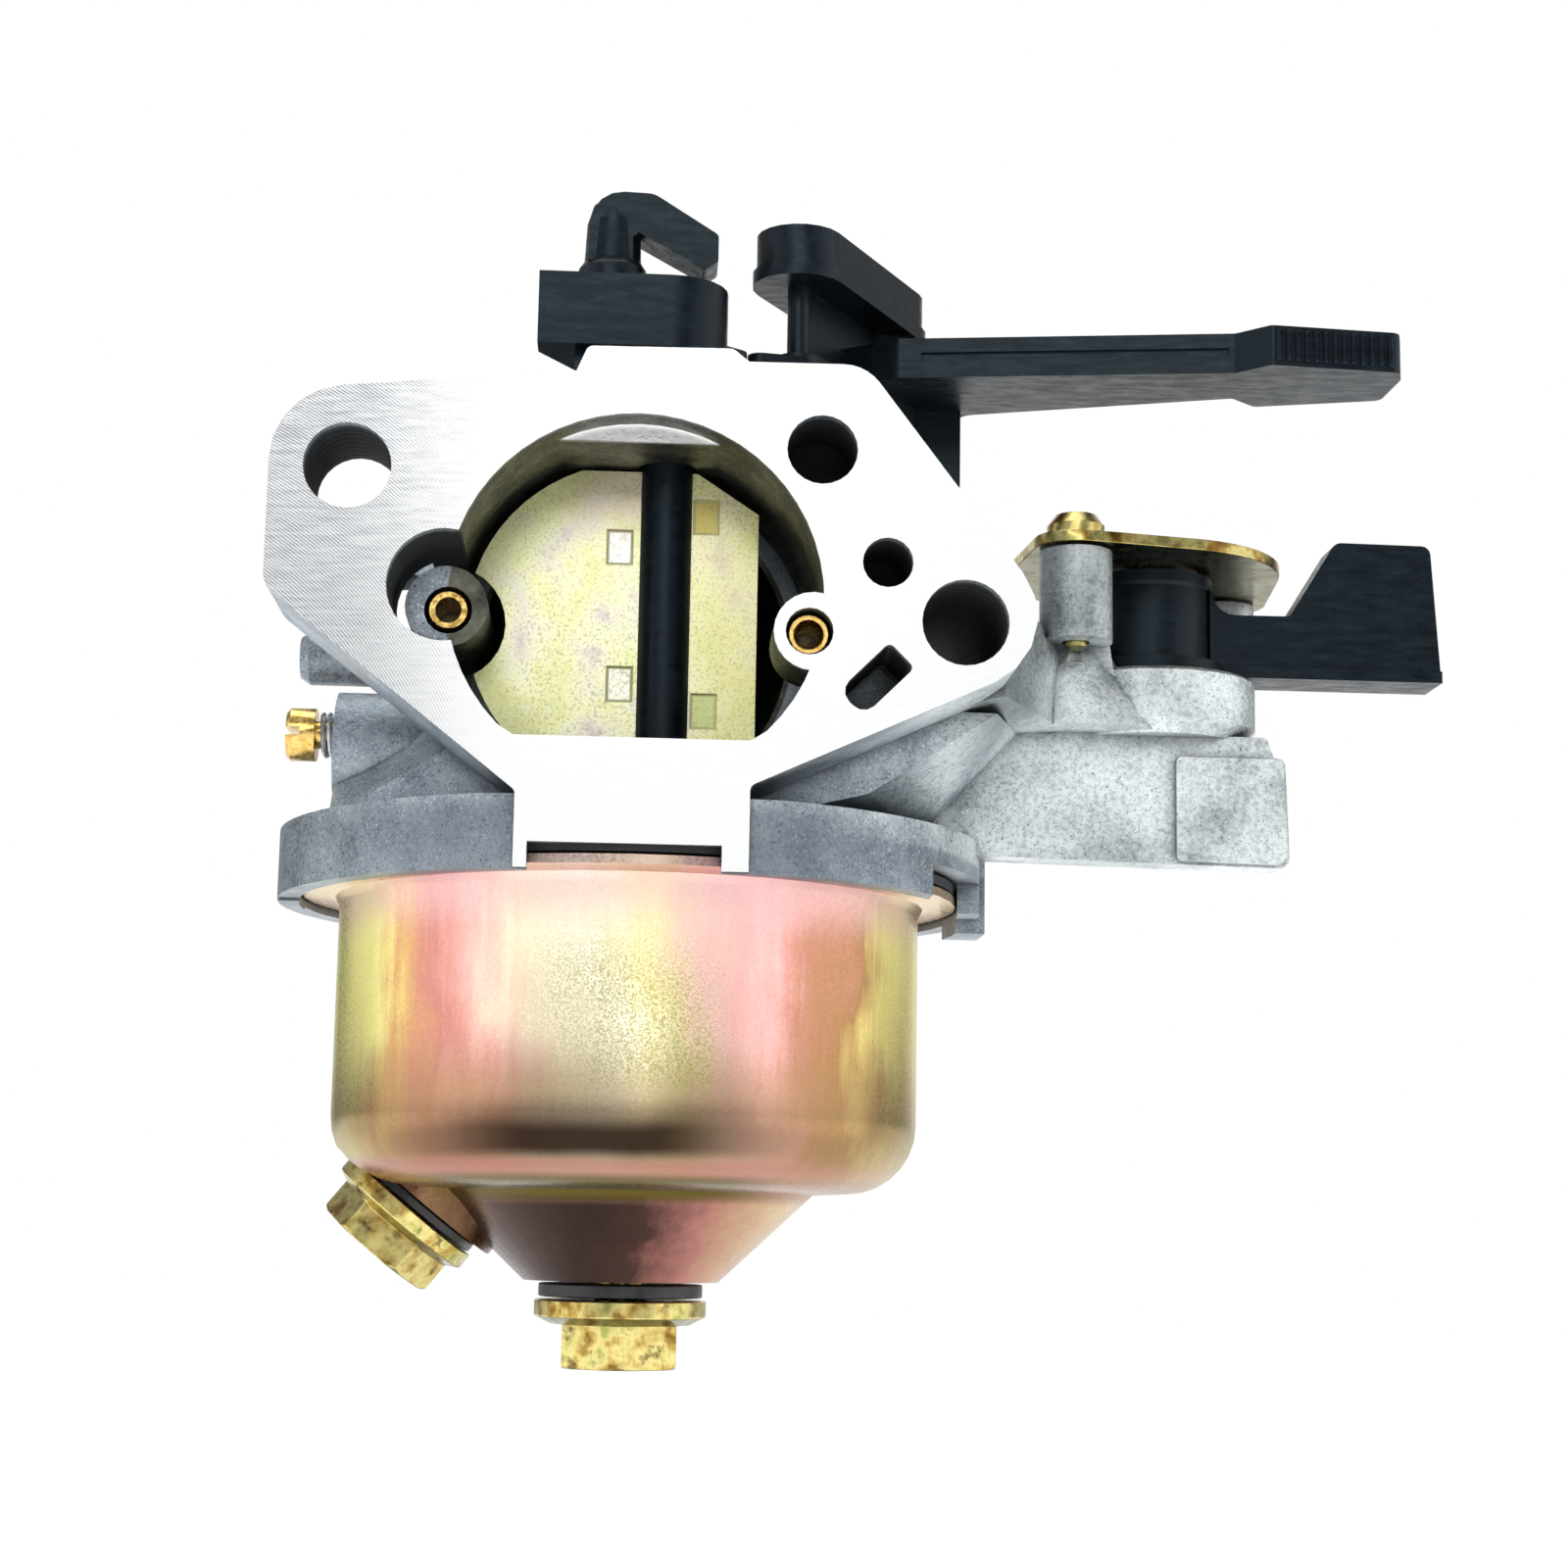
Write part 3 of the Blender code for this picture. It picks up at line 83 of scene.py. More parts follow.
class Paint:
    """A material's node tree, with short calls for the nodes used here. Lengths are millimetres."""

    def __init__(self, name, metallic, roughness):
        self.material = bpy.data.materials.new(name)
        self.material.use_nodes = True
        self.tree = self.material.node_tree
        self.shader = self.tree.nodes["Principled BSDF"]
        self.shader.inputs["Metallic"].default_value = metallic
        self.shader.inputs["Roughness"].default_value = roughness
        place = self.tree.nodes.new("ShaderNodeTexCoord")
        scale = self.tree.nodes.new("ShaderNodeVectorMath")
        scale.operation = "SCALE"
        scale.inputs[3].default_value = 1000.0
        self.tree.links.new(place.outputs["Object"], scale.inputs[0])
        self.place = scale.outputs[0]
        split = self.tree.nodes.new("ShaderNodeSeparateXYZ")
        self.tree.links.new(self.place, split.inputs[0])
        self.x, self.y, self.z = split.outputs

    def feed(self, value, socket):
        if isinstance(value, bpy.types.NodeSocket):
            self.tree.links.new(value, socket)
        else:
            socket.default_value = value

    def math(self, operation, a, b=0.0, clamp=False):
        node = self.tree.nodes.new("ShaderNodeMath")
        node.operation = operation
        node.use_clamp = clamp
        self.feed(a, node.inputs[0])
        self.feed(b, node.inputs[1])
        return node.outputs[0]

    def span(self, value, low, high, to_low=0.0, to_high=1.0, smooth=True):
        """value from low..high becomes to_low..to_high."""
        node = self.tree.nodes.new("ShaderNodeMapRange")
        node.interpolation_type = "SMOOTHSTEP" if smooth else "LINEAR"
        self.feed(value, node.inputs[0])
        for index, number in enumerate((low, high, to_low, to_high)):
            node.inputs[index + 1].default_value = number
        return node.outputs[0]

    def noise(self, scale, detail, roughness, stretch=None):
        node = self.tree.nodes.new("ShaderNodeTexNoise")
        node.inputs["Scale"].default_value = scale
        node.inputs["Detail"].default_value = detail
        node.inputs["Roughness"].default_value = roughness
        if stretch is None:
            self.tree.links.new(self.place, node.inputs["Vector"])
        else:
            mapping = self.tree.nodes.new("ShaderNodeMapping")
            mapping.inputs["Scale"].default_value = stretch
            self.tree.links.new(self.place, mapping.inputs[0])
            self.tree.links.new(mapping.outputs[0], node.inputs["Vector"])
        return node.outputs[0]

    def ramp(self, value, stops):
        node = self.tree.nodes.new("ShaderNodeValToRGB")
        elements = node.color_ramp.elements
        while len(elements) < len(stops):
            elements.new(0.5)
        for element, (position, colour) in zip(elements, stops):
            element.position = position
            element.color = (*colour, 1.0)
        self.feed(value, node.inputs[0])
        return node.outputs[0]

    def mix(self, factor, a, b):
        """Colour a, going over to colour b as factor goes to 1."""
        node = self.tree.nodes.new("ShaderNodeMix")
        node.data_type = "RGBA"
        self.feed(factor, node.inputs[0])
        for value, socket in ((a, node.inputs[6]), (b, node.inputs[7])):
            if isinstance(value, tuple):
                value = (*value, 1.0)
            self.feed(value, socket)
        return node.outputs[2]

    def radius(self, a, b, centre):
        """Distance from an axis through centre, in the plane of a and b."""
        da = self.math("SUBTRACT", a, centre[0])
        db = self.math("SUBTRACT", b, centre[1])
        return self.math("SQRT", self.math("ADD", self.math("MULTIPLY", da, da),
                                           self.math("MULTIPLY", db, db)))

    def off(self, value, centre):
        """How far value is from centre, either way."""
        return self.math("ABSOLUTE", self.math("SUBTRACT", value, centre))

    def colour(self, value):
        self.feed(value, self.shader.inputs["Base Color"])

    def rough(self, value):
        self.feed(value, self.shader.inputs["Roughness"])

    def bump(self, height, strength, distance):
        node = self.tree.nodes.new("ShaderNodeBump")
        node.inputs["Strength"].default_value = strength
        node.inputs["Distance"].default_value = distance * MM
        self.feed(height, node.inputs["Height"])
        self.tree.links.new(node.outputs[0], self.shader.inputs["Normal"])


# ------------------------------------------------------------------ materials

def casting():
    """Die-cast aluminium, with two machined faces, a darker bore, painted shade in the holes and
    inside corners, and painted light and shadow on the arm to the fuel tap.
    """
    p = Paint("die_cast_aluminium", 0.88, 0.42)
    cloud = p.noise(0.11, 4.0, 0.6)
    grain = p.noise(1.7, 6.0, 0.72)
    fleck = p.noise(4.2, 2.0, 0.6)

    # the cast skin: clouds with light and dark flecks, and a darker rim above the bowl
    base = p.ramp(p.math("ADD", p.math("MULTIPLY", cloud, 0.55), p.math("MULTIPLY", grain, 0.45)),
                  [(0.33, (0.10, 0.125, 0.15)), (0.46, (0.27, 0.31, 0.35)),
                   (0.56, (0.40, 0.45, 0.49)), (0.70, (0.66, 0.70, 0.74))])
    base = p.mix(p.span(fleck, 0.60, 0.72, 0.0, 0.75), base, (0.80, 0.84, 0.88))
    base = p.mix(p.span(fleck, 0.40, 0.29, 0.0, 0.8), base, (0.05, 0.06, 0.075))
    low = p.math("MULTIPLY", p.span(p.z, -19.0, -21.5), p.span(p.y, 10.0, 1.0, 0.4, 1.0))
    base = p.mix(p.math("MULTIPLY", low, 0.55), base, (0.10, 0.125, 0.155))

    # the arm to the fuel tap is paler with painted light, but dark with a painted shadow just
    # behind the flange
    bright = p.math("MULTIPLY", p.span(p.x, 14.0, 40.0), p.span(cloud, 0.30, 0.62, 0.25, 0.72))
    bright = p.math("MULTIPLY", bright, p.span(p.z, -22.6, -21.8))
    bright = p.math("MULTIPLY", bright, p.span(grain, 0.36, 0.58, 0.45, 1.0))
    base = p.mix(bright, base, (0.90, 0.95, 0.93))
    base = p.mix(p.span(fleck, 0.37, 0.30, 0.0, 0.8), base, (0.07, 0.08, 0.09))
    shadow = p.math("MULTIPLY", p.span(p.y, 24.0, 14.0), p.span(p.x, 30.0, 38.0))
    shadow = p.math("MULTIPLY", shadow, p.span(p.y, 8.2, 9.2))
    base = p.mix(p.math("MULTIPLY", shadow, 0.6), base, (0.06, 0.075, 0.085))

    # painted shade in the inside corners, from ambient occlusion
    crease_shade = p.tree.nodes.new("ShaderNodeAmbientOcclusion")
    crease_shade.samples = 6
    crease_shade.inputs["Distance"].default_value = 3.0 * MM
    base = p.mix(p.span(crease_shade.outputs["AO"], 0.85, 0.35, 0.0, 0.8), base, (0.045, 0.052, 0.058))

    # the darker bore, wider at the inlet end
    bore = p.radius(p.x, p.z, AXIS)
    inlet = p.math("MULTIPLY", p.span(bore, 19.0, 18.7),
                   p.span(p.y, INLET_END + 0.2, INLET_END - 0.2))
    outlet = p.math("MULTIPLY", p.span(bore, 16.8, 16.6),
                    p.span(p.y, INLET_END - 0.2, INLET_END + 0.2))
    outlet = p.math("MULTIPLY", outlet, p.span(p.y, BODY_LENGTH - 0.7, BODY_LENGTH - 1.1))
    inside = p.math("MULTIPLY", p.math("ADD", inlet, outlet), p.span(p.y, 0.2, 1.0))
    bore_colour = p.ramp(p.noise(0.35, 5.0, 0.65), [(0.30, (0.035, 0.035, 0.028)),
                                                   (0.50, (0.10, 0.10, 0.082)),
                                                   (0.72, (0.22, 0.215, 0.17))])
    base = p.mix(inside, base, bore_colour)

    # painted shade darkens the inside of the holes, and the two stud holes show lines like a thread
    hole_shade = 0.0
    for x, z, reach, end in HOLES:
        hole = p.radius(p.x, p.z, (x, z))
        shade = p.math("MULTIPLY", p.span(hole, reach + 0.6, reach + 0.2),
                       p.span(p.y, end, end - 0.4))
        hole_shade = p.math("MAXIMUM", hole_shade, shade)
    post = p.radius(p.x, p.z, JET_POST)
    hole_shade = p.math("MULTIPLY", hole_shade, p.span(post, JET_POST_RADIUS - 0.2, JET_POST_RADIUS + 0.2))
    hole_shade = p.math("MULTIPLY", hole_shade, p.span(p.y, 0.3, 1.6))
    thread = p.span(p.math("SINE", p.math("MULTIPLY", p.y, 4.2)), -0.2, 0.9)
    thread = p.math("MULTIPLY", thread, p.span(p.off(p.x, STUD_MIDDLE_X), 25.0, 25.5))
    hole_shade_colour = p.mix(thread, (0.003, 0.004, 0.006), (0.030, 0.034, 0.038))
    base = p.mix(p.math("MULTIPLY", hole_shade, 0.98), base, hole_shade_colour)

    # the pale crescent-shaped ledge at the top of the inlet: machined, and brightened with a
    # painted highlight
    ledge = p.math("MULTIPLY", p.span(p.z, 16.5, 16.8), p.span(p.off(p.y, 4.2), 0.5, 0.3))
    base = p.mix(p.math("MULTIPLY", ledge, inside), base, (0.9, 0.9, 0.9))

    # the machined faces: bright, with fine turning rings, scratches and a darker left side
    face = p.math("MAXIMUM", p.span(p.y, 0.16, 0.04),
                  p.span(p.y, BODY_LENGTH - 0.16, BODY_LENGTH - 0.04))
    swirl = p.tree.nodes.new("ShaderNodeTexWave")
    swirl.wave_type = "RINGS"
    swirl.rings_direction = "SPHERICAL"
    swirl.inputs["Scale"].default_value = 1.15
    swirl.inputs["Distortion"].default_value = 1.5
    swirl.inputs["Detail"].default_value = 3.0
    swirl.inputs["Detail Scale"].default_value = 2.0
    shift = p.tree.nodes.new("ShaderNodeMapping")
    shift.inputs["Location"].default_value = (62.0, 0.0, 34.0)
    p.tree.links.new(p.place, shift.inputs[0])
    p.tree.links.new(shift.outputs[0], swirl.inputs["Vector"])
    scratch = p.noise(1.0, 5.0, 0.7, (0.25, 1.0, 2.6))
    wear = p.math("MULTIPLY", swirl.outputs[1], scratch)
    left = p.span(p.x, -10.0, -30.0)
    wear = p.math("MULTIPLY", wear, p.math("ADD", p.math("MULTIPLY", left, 0.9), 0.45))
    shade = p.math("ADD", wear, p.math("MULTIPLY", left, 0.38))
    machined = p.mix(p.math("MULTIPLY", shade, 0.9, True),
                     (0.90, 0.905, 0.91), (0.22, 0.235, 0.25))
    spots = p.noise(2.3, 3.0, 0.6)
    machined = p.mix(p.span(spots, 0.30, 0.24, 0.0, 0.6), machined, (0.35, 0.37, 0.39))
    base = p.mix(face, base, machined)
    p.colour(base)

    rough = p.span(grain, 0.3, 0.7, 0.34, 0.56)
    rough = p.math("ADD", p.math("MULTIPLY", rough, p.math("SUBTRACT", 1.0, face)),
                   p.math("MULTIPLY", p.span(scratch, 0.3, 0.7, 0.36, 0.52), face))
    rough = p.math("MAXIMUM", rough, p.math("MULTIPLY", hole_shade, 0.85))
    p.rough(rough)
    p.feed(p.math("MULTIPLY", p.math("SUBTRACT", 1.0, hole_shade), 0.88), p.shader.inputs["Metallic"])
    quiet = p.math("SUBTRACT", 1.0, p.math("MULTIPLY", face, 0.82))
    height = p.math("ADD", grain, p.math("MULTIPLY", fleck, 0.6))
    p.bump(p.math("MULTIPLY", height, quiet), 0.55, 0.16)
    return p.material


def plastic():
    """Satin black moulded plastic with faint scuffs."""
    p = Paint("black_moulding", 0.0, 0.36)
    scuff = p.noise(0.8, 6.0, 0.7, (0.35, 1.0, 1.6))
    fine = p.noise(5.5, 3.0, 0.6)
    p.colour(p.ramp(scuff, [(0.36, (0.0016, 0.0032, 0.0052)), (0.60, (0.0035, 0.0062, 0.0092)),
                            (0.76, (0.010, 0.015, 0.021))]))
    p.rough(p.span(scuff, 0.3, 0.75, 0.27, 0.52))
    p.shader.inputs["Specular IOR Level"].default_value = 0.27
    p.shader.inputs["Specular Tint"].default_value = (0.66, 0.86, 1.0, 1.0)
    p.bump(p.math("ADD", fine, p.math("MULTIPLY", scuff, 0.8)), 0.25, 0.06)
    return p.material


def bolt_zinc():
    """Yellow zinc plate: gold with greenish and coppery clouds and dark handling marks."""
    p = Paint("yellow_zinc_fasteners", 1.0, 0.24)
    cloud = p.noise(0.45, 3.0, 0.55)
    fine = p.noise(0.5, 4.0, 0.55)
    base = p.ramp(cloud, [(0.34, (0.24, 0.14, 0.03)), (0.44, (0.48, 0.35, 0.10)),
                          (0.55, (0.66, 0.57, 0.22)), (0.68, (0.36, 0.35, 0.10))])
    base = p.mix(p.span(fine, 0.42, 0.30, 0.0, 0.8), base, (0.10, 0.055, 0.018))
    # painted shade: the undersides are darker
    facing = p.tree.nodes.new("ShaderNodeSeparateXYZ")
    p.tree.links.new(p.tree.nodes.new("ShaderNodeNewGeometry").outputs["Normal"], facing.inputs[0])
    below = p.span(facing.outputs[2], -0.4, -0.85)
    base = p.mix(p.math("MULTIPLY", below, 0.85), base, (0.07, 0.075, 0.028))
    p.colour(base)
    p.rough(p.span(fine, 0.3, 0.7, 0.17, 0.36))
    p.bump(fine, 0.3, 0.06)
    return p.material


def bowl_zinc():
    """Iridescent yellow chromate on the pressed bowl, in bands that change with x and height, with
    a painted highlight and painted reflections across the front and painted dark reflections low
    down.
    """
    p = Paint("iridescent_zinc_bowl", 0.92, 0.26)
    warp = p.noise(0.06, 3.0, 0.5)
    streak = p.noise(0.55, 5.0, 0.65, (1.0, 1.0, 0.12))
    grain = p.noise(2.4, 6.0, 0.75)
    place = p.math("ADD", p.x, p.math("MULTIPLY", p.math("SUBTRACT", warp, 0.5), 16.0))
    place = p.math("ADD", place, p.math("MULTIPLY", p.math("SUBTRACT", streak, 0.5), 7.0))
    across = p.span(place, -BOWL_REACH, BOWL_REACH, 0.0, 1.0, False)

    # upright bands of colour across the front, partly chromate tint and partly painted reflections
    # with a painted highlight down the middle; plainer ones at the back
    front = p.ramp(across, [
        (0.00, (0.82, 0.78, 0.20)), (0.09, (0.80, 0.74, 0.26)), (0.16, (0.52, 0.31, 0.12)),
        (0.22, (0.46, 0.18, 0.15)), (0.30, (0.66, 0.35, 0.31)), (0.39, (0.86, 0.76, 0.55)),
        (0.47, (0.92, 0.86, 0.68)), (0.56, (0.76, 0.66, 0.36)), (0.62, (0.84, 0.54, 0.48)),
        (0.71, (0.74, 0.38, 0.36)), (0.79, (0.42, 0.19, 0.13)), (0.86, (0.33, 0.17, 0.07)),
        (0.92, (0.66, 0.56, 0.18)), (1.00, (0.76, 0.70, 0.20))])
    back = p.ramp(across, [
        (0.00, (0.52, 0.50, 0.13)), (0.25, (0.80, 0.52, 0.40)), (0.50, (0.80, 0.74, 0.40)),
        (0.75, (0.78, 0.50, 0.36)), (1.00, (0.58, 0.52, 0.14))])
    base = p.mix(p.span(p.y, 34.0, 40.0), front, back)

    # pinkish at the top, browner lower down, then a painted dark reflection as a stripe just above
    # the bottom bend
    height = p.math("ADD", p.z, p.math("MULTIPLY", p.math("SUBTRACT", warp, 0.5), 1.6))
    top = p.span(height, -33.0, -27.5)
    base = p.mix(p.math("MULTIPLY", top, 0.6), base, (0.60, 0.38, 0.38))
    lower = p.span(height, -41.0, -49.5)
    base = p.mix(p.math("MULTIPLY", lower, 0.65), base, (0.30, 0.19, 0.08))
    dark_reflection_band = p.math("MULTIPLY", p.span(height, -47.6, -51.8), p.span(height, -55.6, -53.0))
    dark_reflection_band = p.math("MULTIPLY", dark_reflection_band, p.span(p.off(p.x, BOWL_SHADE_X), 24.0, 6.0, 0.15, 1.0))
    base = p.mix(p.math("MULTIPLY", dark_reflection_band, 0.97), base, (0.016, 0.006, 0.003))

    # the bend itself, the step under it and the dark cone down to the bolt, all darkened with
    # painted dark reflections
    rim = p.math("MULTIPLY", p.span(p.z, -53.6, -54.8), p.span(p.x, 24.0, 8.0, 0.3, 1.0))
    base = p.mix(p.math("MULTIPLY", rim, 0.8), base, (0.34, 0.15, 0.12))
    step = p.math("MULTIPLY", p.span(p.z, -55.2, -56.2), p.span(p.z, -58.6, -57.8))
    step = p.math("MULTIPLY", step, p.span(p.off(p.x, BOWL_SHADE_X), 22.0, 12.0, 0.3, 1.0))
    base = p.mix(p.math("MULTIPLY", step, 0.97), base, (0.085, 0.062, 0.005))
    cone = p.span(p.z, -57.2, -58.6)
    cone_reflection_colour = p.ramp(across, [(0.10, (0.30, 0.18, 0.08)), (0.30, (0.035, 0.014, 0.010)),
                                  (0.42, (0.012, 0.005, 0.003)), (0.52, (0.035, 0.014, 0.011)),
                                  (0.62, (0.30, 0.12, 0.10)), (0.85, (0.58, 0.48, 0.20))])
    base = p.mix(p.math("MULTIPLY", cone, 0.97), base, cone_reflection_colour)

    # fine greenish specks down the middle of the side wall
    middle = p.span(p.off(place, 1.0), 12.0, 2.0, 0.08, 1.0)
    specks = p.math("MULTIPLY", p.span(p.noise(4.5, 4.0, 0.7), 0.54, 0.44), middle)
    wall = p.math("MULTIPLY", p.span(p.z, -28.0, -38.0), p.span(p.z, -49.0, -46.0))
    specks = p.math("MULTIPLY", specks, wall)
    base = p.mix(p.math("MULTIPLY", specks, 0.8), base, (0.34, 0.33, 0.09))
    p.colour(base)
    p.rough(p.span(grain, 0.3, 0.7, 0.20, 0.36))
    p.bump(p.math("ADD", p.math("MULTIPLY", grain, 0.5), streak), 0.16, 0.10)
    return p.material


def plate_zinc():
    """Pale yellow-green zinc on the choke plate, with lilac patches, specks and four dimples."""
    p = Paint("zinc_choke_plate", 0.75, 0.36)
    cloud = p.noise(0.16, 4.0, 0.6)
    fine = p.noise(3.0, 5.0, 0.75)
    base = p.ramp(cloud, [(0.30, (0.62, 0.50, 0.54)), (0.40, (0.86, 0.84, 0.66)),
                          (0.52, (0.90, 0.90, 0.56)), (0.62, (0.80, 0.82, 0.40)),
                          (0.74, (0.92, 0.92, 0.80))])
    for x, z, tone in DIMPLES:
        reach = p.math("MAXIMUM", p.math("SUBTRACT", p.off(p.x, x), DIMPLE_HALF[0]),
                       p.math("SUBTRACT", p.off(p.z, z), DIMPLE_HALF[1]))
        base = p.mix(p.span(reach, -0.10, -0.22), base, tone)
        rim = p.math("MULTIPLY", p.span(reach, -0.30, -0.16), p.span(reach, 0.16, 0.04))
        base = p.mix(p.math("MULTIPLY", rim, 0.75), base, (0.16, 0.15, 0.07))
    right = p.span(p.x, 3.0, 9.0)
    base = p.mix(p.math("MULTIPLY", right, 0.45), base, (0.62, 0.58, 0.20))
    upper = p.math("MULTIPLY", p.span(p.z, 8.0, 13.5), p.span(p.off(p.x, -2.0), 8.0, 2.0))
    base = p.mix(p.math("MULTIPLY", upper, 0.5), base, (0.52, 0.36, 0.46))
    green = p.math("MULTIPLY", p.span(p.radius(p.x, p.z, AXIS), 12.5, 17.0),
                   p.span(p.x, 4.0, -4.0))
    base = p.mix(p.math("MULTIPLY", green, 0.6), base, (0.42, 0.44, 0.16))
    base = p.mix(p.span(fine, 0.50, 0.40, 0.0, 0.6), base, (0.34, 0.31, 0.16))
    p.colour(base)
    p.rough(p.span(fine, 0.3, 0.7, 0.28, 0.5))
    p.bump(fine, 0.35, 0.05)
    return p.material


def simple(name, metallic, low, high, rough, scale=1.5):
    """A two-tone procedural finish, for brass, steel, rubber and the float."""
    p = Paint(name, metallic, rough[0])
    grain = p.noise(scale, 5.0, 0.65)
    p.colour(p.ramp(grain, [(0.34, low), (0.66, high)]))
    p.rough(p.span(grain, 0.3, 0.7, rough[0], rough[1]))
    p.bump(grain, 0.2, 0.05)
    return p.material


cast = casting()
black = plastic()
gold = bolt_zinc()
bowl = bowl_zinc()
plate = plate_zinc()
brass = simple("turned_brass", 1.0, (0.50, 0.28, 0.05), (0.90, 0.66, 0.24), (0.16, 0.32), 1.8)
steel = simple("plain_steel", 1.0, (0.30, 0.30, 0.31), (0.62, 0.62, 0.63), (0.22, 0.40), 1.6)
rubber = simple("black_rubber", 0.0, (0.008, 0.008, 0.009), (0.024, 0.024, 0.026), (0.5, 0.75), 1.2)
fibre = simple("black_fibre_washer", 0.0, (0.006, 0.006, 0.008), (0.020, 0.020, 0.022), (0.3, 0.5))
foam = simple("float_moulding", 0.0, (0.58, 0.55, 0.47), (0.74, 0.72, 0.64), (0.4, 0.6), 0.8)

FINISH = {
    "carburetor_body": cast, "float_bowl": bowl, "bowl_gasket": rubber,
    "bowl_bolt_washer": fibre, "bowl_bolt": gold, "drain_washer": fibre, "drain_bolt": gold,
    "main_nozzle": brass, "main_jet": brass, "pilot_air_jet": brass, "main_air_jet": brass,
    "pilot_jet": black, "float": foam, "float_pin": steel, "float_needle": steel,
    "choke_shaft": black, "choke_plate": plate, "choke_lever": black, "throttle_shaft": steel,
    "throttle_plate": brass, "throttle_screw": steel, "throttle_seal": rubber,
    "throttle_lever": black, "mixture_screw": brass, "mixture_spring": steel, "idle_screw": gold,
    "idle_spring": steel, "valve_packing": rubber, "valve_lever": black, "valve_spring": steel,
    "valve_plate": gold, "valve_screw_front": gold, "valve_screw_rear": gold, "fuel_inlet": steel,
}
# width of the small rounding on each piece's edges, in millimetres
ROUNDING = {
    "carburetor_body": 0.35, "float_bowl": 0.0, "choke_lever": 0.4, "choke_shaft": 0.4,
    "valve_lever": 0.35, "throttle_lever": 0.35, "bowl_bolt": 0.25, "drain_bolt": 0.25,
    "valve_plate": 0.2, "mixture_screw": 0.15, "valve_screw_front": 0.15, "valve_screw_rear": 0.15,
    "bowl_bolt_washer": 0.15, "drain_washer": 0.15, "main_air_jet": 0.1, "pilot_air_jet": 0.1,
    "choke_plate": 0.08, "idle_screw": 0.15, "pilot_jet": 0.2, "float": 0.4,
}


def smooth_shading():
    """Welded corners and smooth shading, kept sharp where faces meet steeply."""
    tree = bpy.data.node_groups.new("smooth_shading", "GeometryNodeTree")
    tree.interface.new_socket("Geometry", in_out="INPUT", socket_type="NodeSocketGeometry")
    tree.interface.new_socket("Geometry", in_out="OUTPUT", socket_type="NodeSocketGeometry")
    chain = [tree.nodes.new(kind) for kind in (
        "NodeGroupInput", "GeometryNodeMergeByDistance", "GeometryNodeSetShadeSmooth",
        "GeometryNodeSetShadeSmooth", "GeometryNodeRemoveAttribute", "NodeGroupOutput")]
    for before, after in zip(chain, chain[1:]):
        tree.links.new(before.outputs[0], after.inputs[0])
    weld, faces, edges, plain = chain[1:-1]
    weld.inputs["Distance"].default_value = WELD_METRES
    faces.domain = "FACE"
    faces.inputs["Shade Smooth"].default_value = True
    edges.domain = "EDGE"
    edges.inputs["Shade Smooth"].default_value = False
    plain.inputs["Name"].default_value = "custom_normal"
    angle = tree.nodes.new("GeometryNodeInputMeshEdgeAngle")
    steep = tree.nodes.new("FunctionNodeCompare")
    steep.inputs[1].default_value = math.radians(SHARP_DEGREES)
    tree.links.new(angle.outputs[0], steep.inputs[0])
    tree.links.new(steep.outputs[0], edges.inputs["Selection"])
    return tree


SMOOTH = smooth_shading()


def dress(obj, material, rounding):
    """Give a carried-over CAD node its material, smooth shading and softened edges."""
    for slot in obj.material_slots:
        slot.material = material
    smooth = obj.modifiers.new("smooth_shading", "NODES")
    smooth.node_group = SMOOTH
    if rounding:
        bevel = obj.modifiers.new("edge_rounding", "BEVEL")
        bevel.width = rounding * MM
        bevel.segments = 2
        bevel.limit_method = "ANGLE"
        bevel.angle_limit = math.radians(ROUNDED_DEGREES)
        even = obj.modifiers.new("even_shading", "WEIGHTED_NORMAL")
        even.keep_sharp = True


for name, obj in nodes.items():
    dress(obj, FINISH[name], ROUNDING.get(name, 0.0))


# ------------------------------------------------------------------ added detail

def add_mesh(name, verts, faces, material, body):
    """A detail piece from millimetre points, riding on a CAD body."""
    mesh = bpy.data.meshes.new(name)
    mesh.from_pydata([(x * MM, y * MM, z * MM) for x, y, z in verts], [], faces)
    bm = bmesh.new()
    bm.from_mesh(mesh)
    bmesh.ops.recalc_face_normals(bm, faces=bm.faces)
    bm.to_mesh(mesh)
    bm.free()
    mesh.materials.append(material)
    obj = bpy.data.objects.new(name, mesh)
    bpy.context.scene.collection.objects.link(obj)
    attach(obj, body)


def grip_ribs():
    """The row of upright ribs across the front of the choke lever's finger tip."""
    verts = []
    faces = []
    count = 13
    start = Vector((67.2, 14.86))
    end = Vector((79.4, 15.90))
    along = (end - start).normalized()
    out = Vector((along.y, -along.x))
    low, high = 30.9, 34.4
    # one rib's cross-section: along the finger and out of it
    profile = ((-0.36, -0.3), (-0.30, 0.12), (-0.12, 0.34),
               (0.12, 0.34), (0.30, 0.12), (0.36, -0.3))
    n = len(profile)
    for i in range(count):
        centre = start.lerp(end, i / (count - 1))
        base = len(verts)
        for height, shrink in ((low, 0.6), (low + 0.3, 1.0), (high - 0.3, 1.0), (high, 0.6)):
            for side, reach in profile:
                point = centre + along * side + out * (reach if reach < 0 else reach * shrink)
                verts.append((point.x, point.y, height))
        for level in range(3):
            for k in range(n):
                a = base + level * n + k
                b = base + level * n + (k + 1) % n
                faces.append((a, b, b + n, a + n))
        faces.append(tuple(range(base, base + n)))
        faces.append(tuple(range(base + 3 * n, base + 4 * n)))
    add_mesh("grip_ribs", verts, faces, black, "choke_lever")


grip_ribs()


# ------------------------------------------------------------------ camera, floor and lights

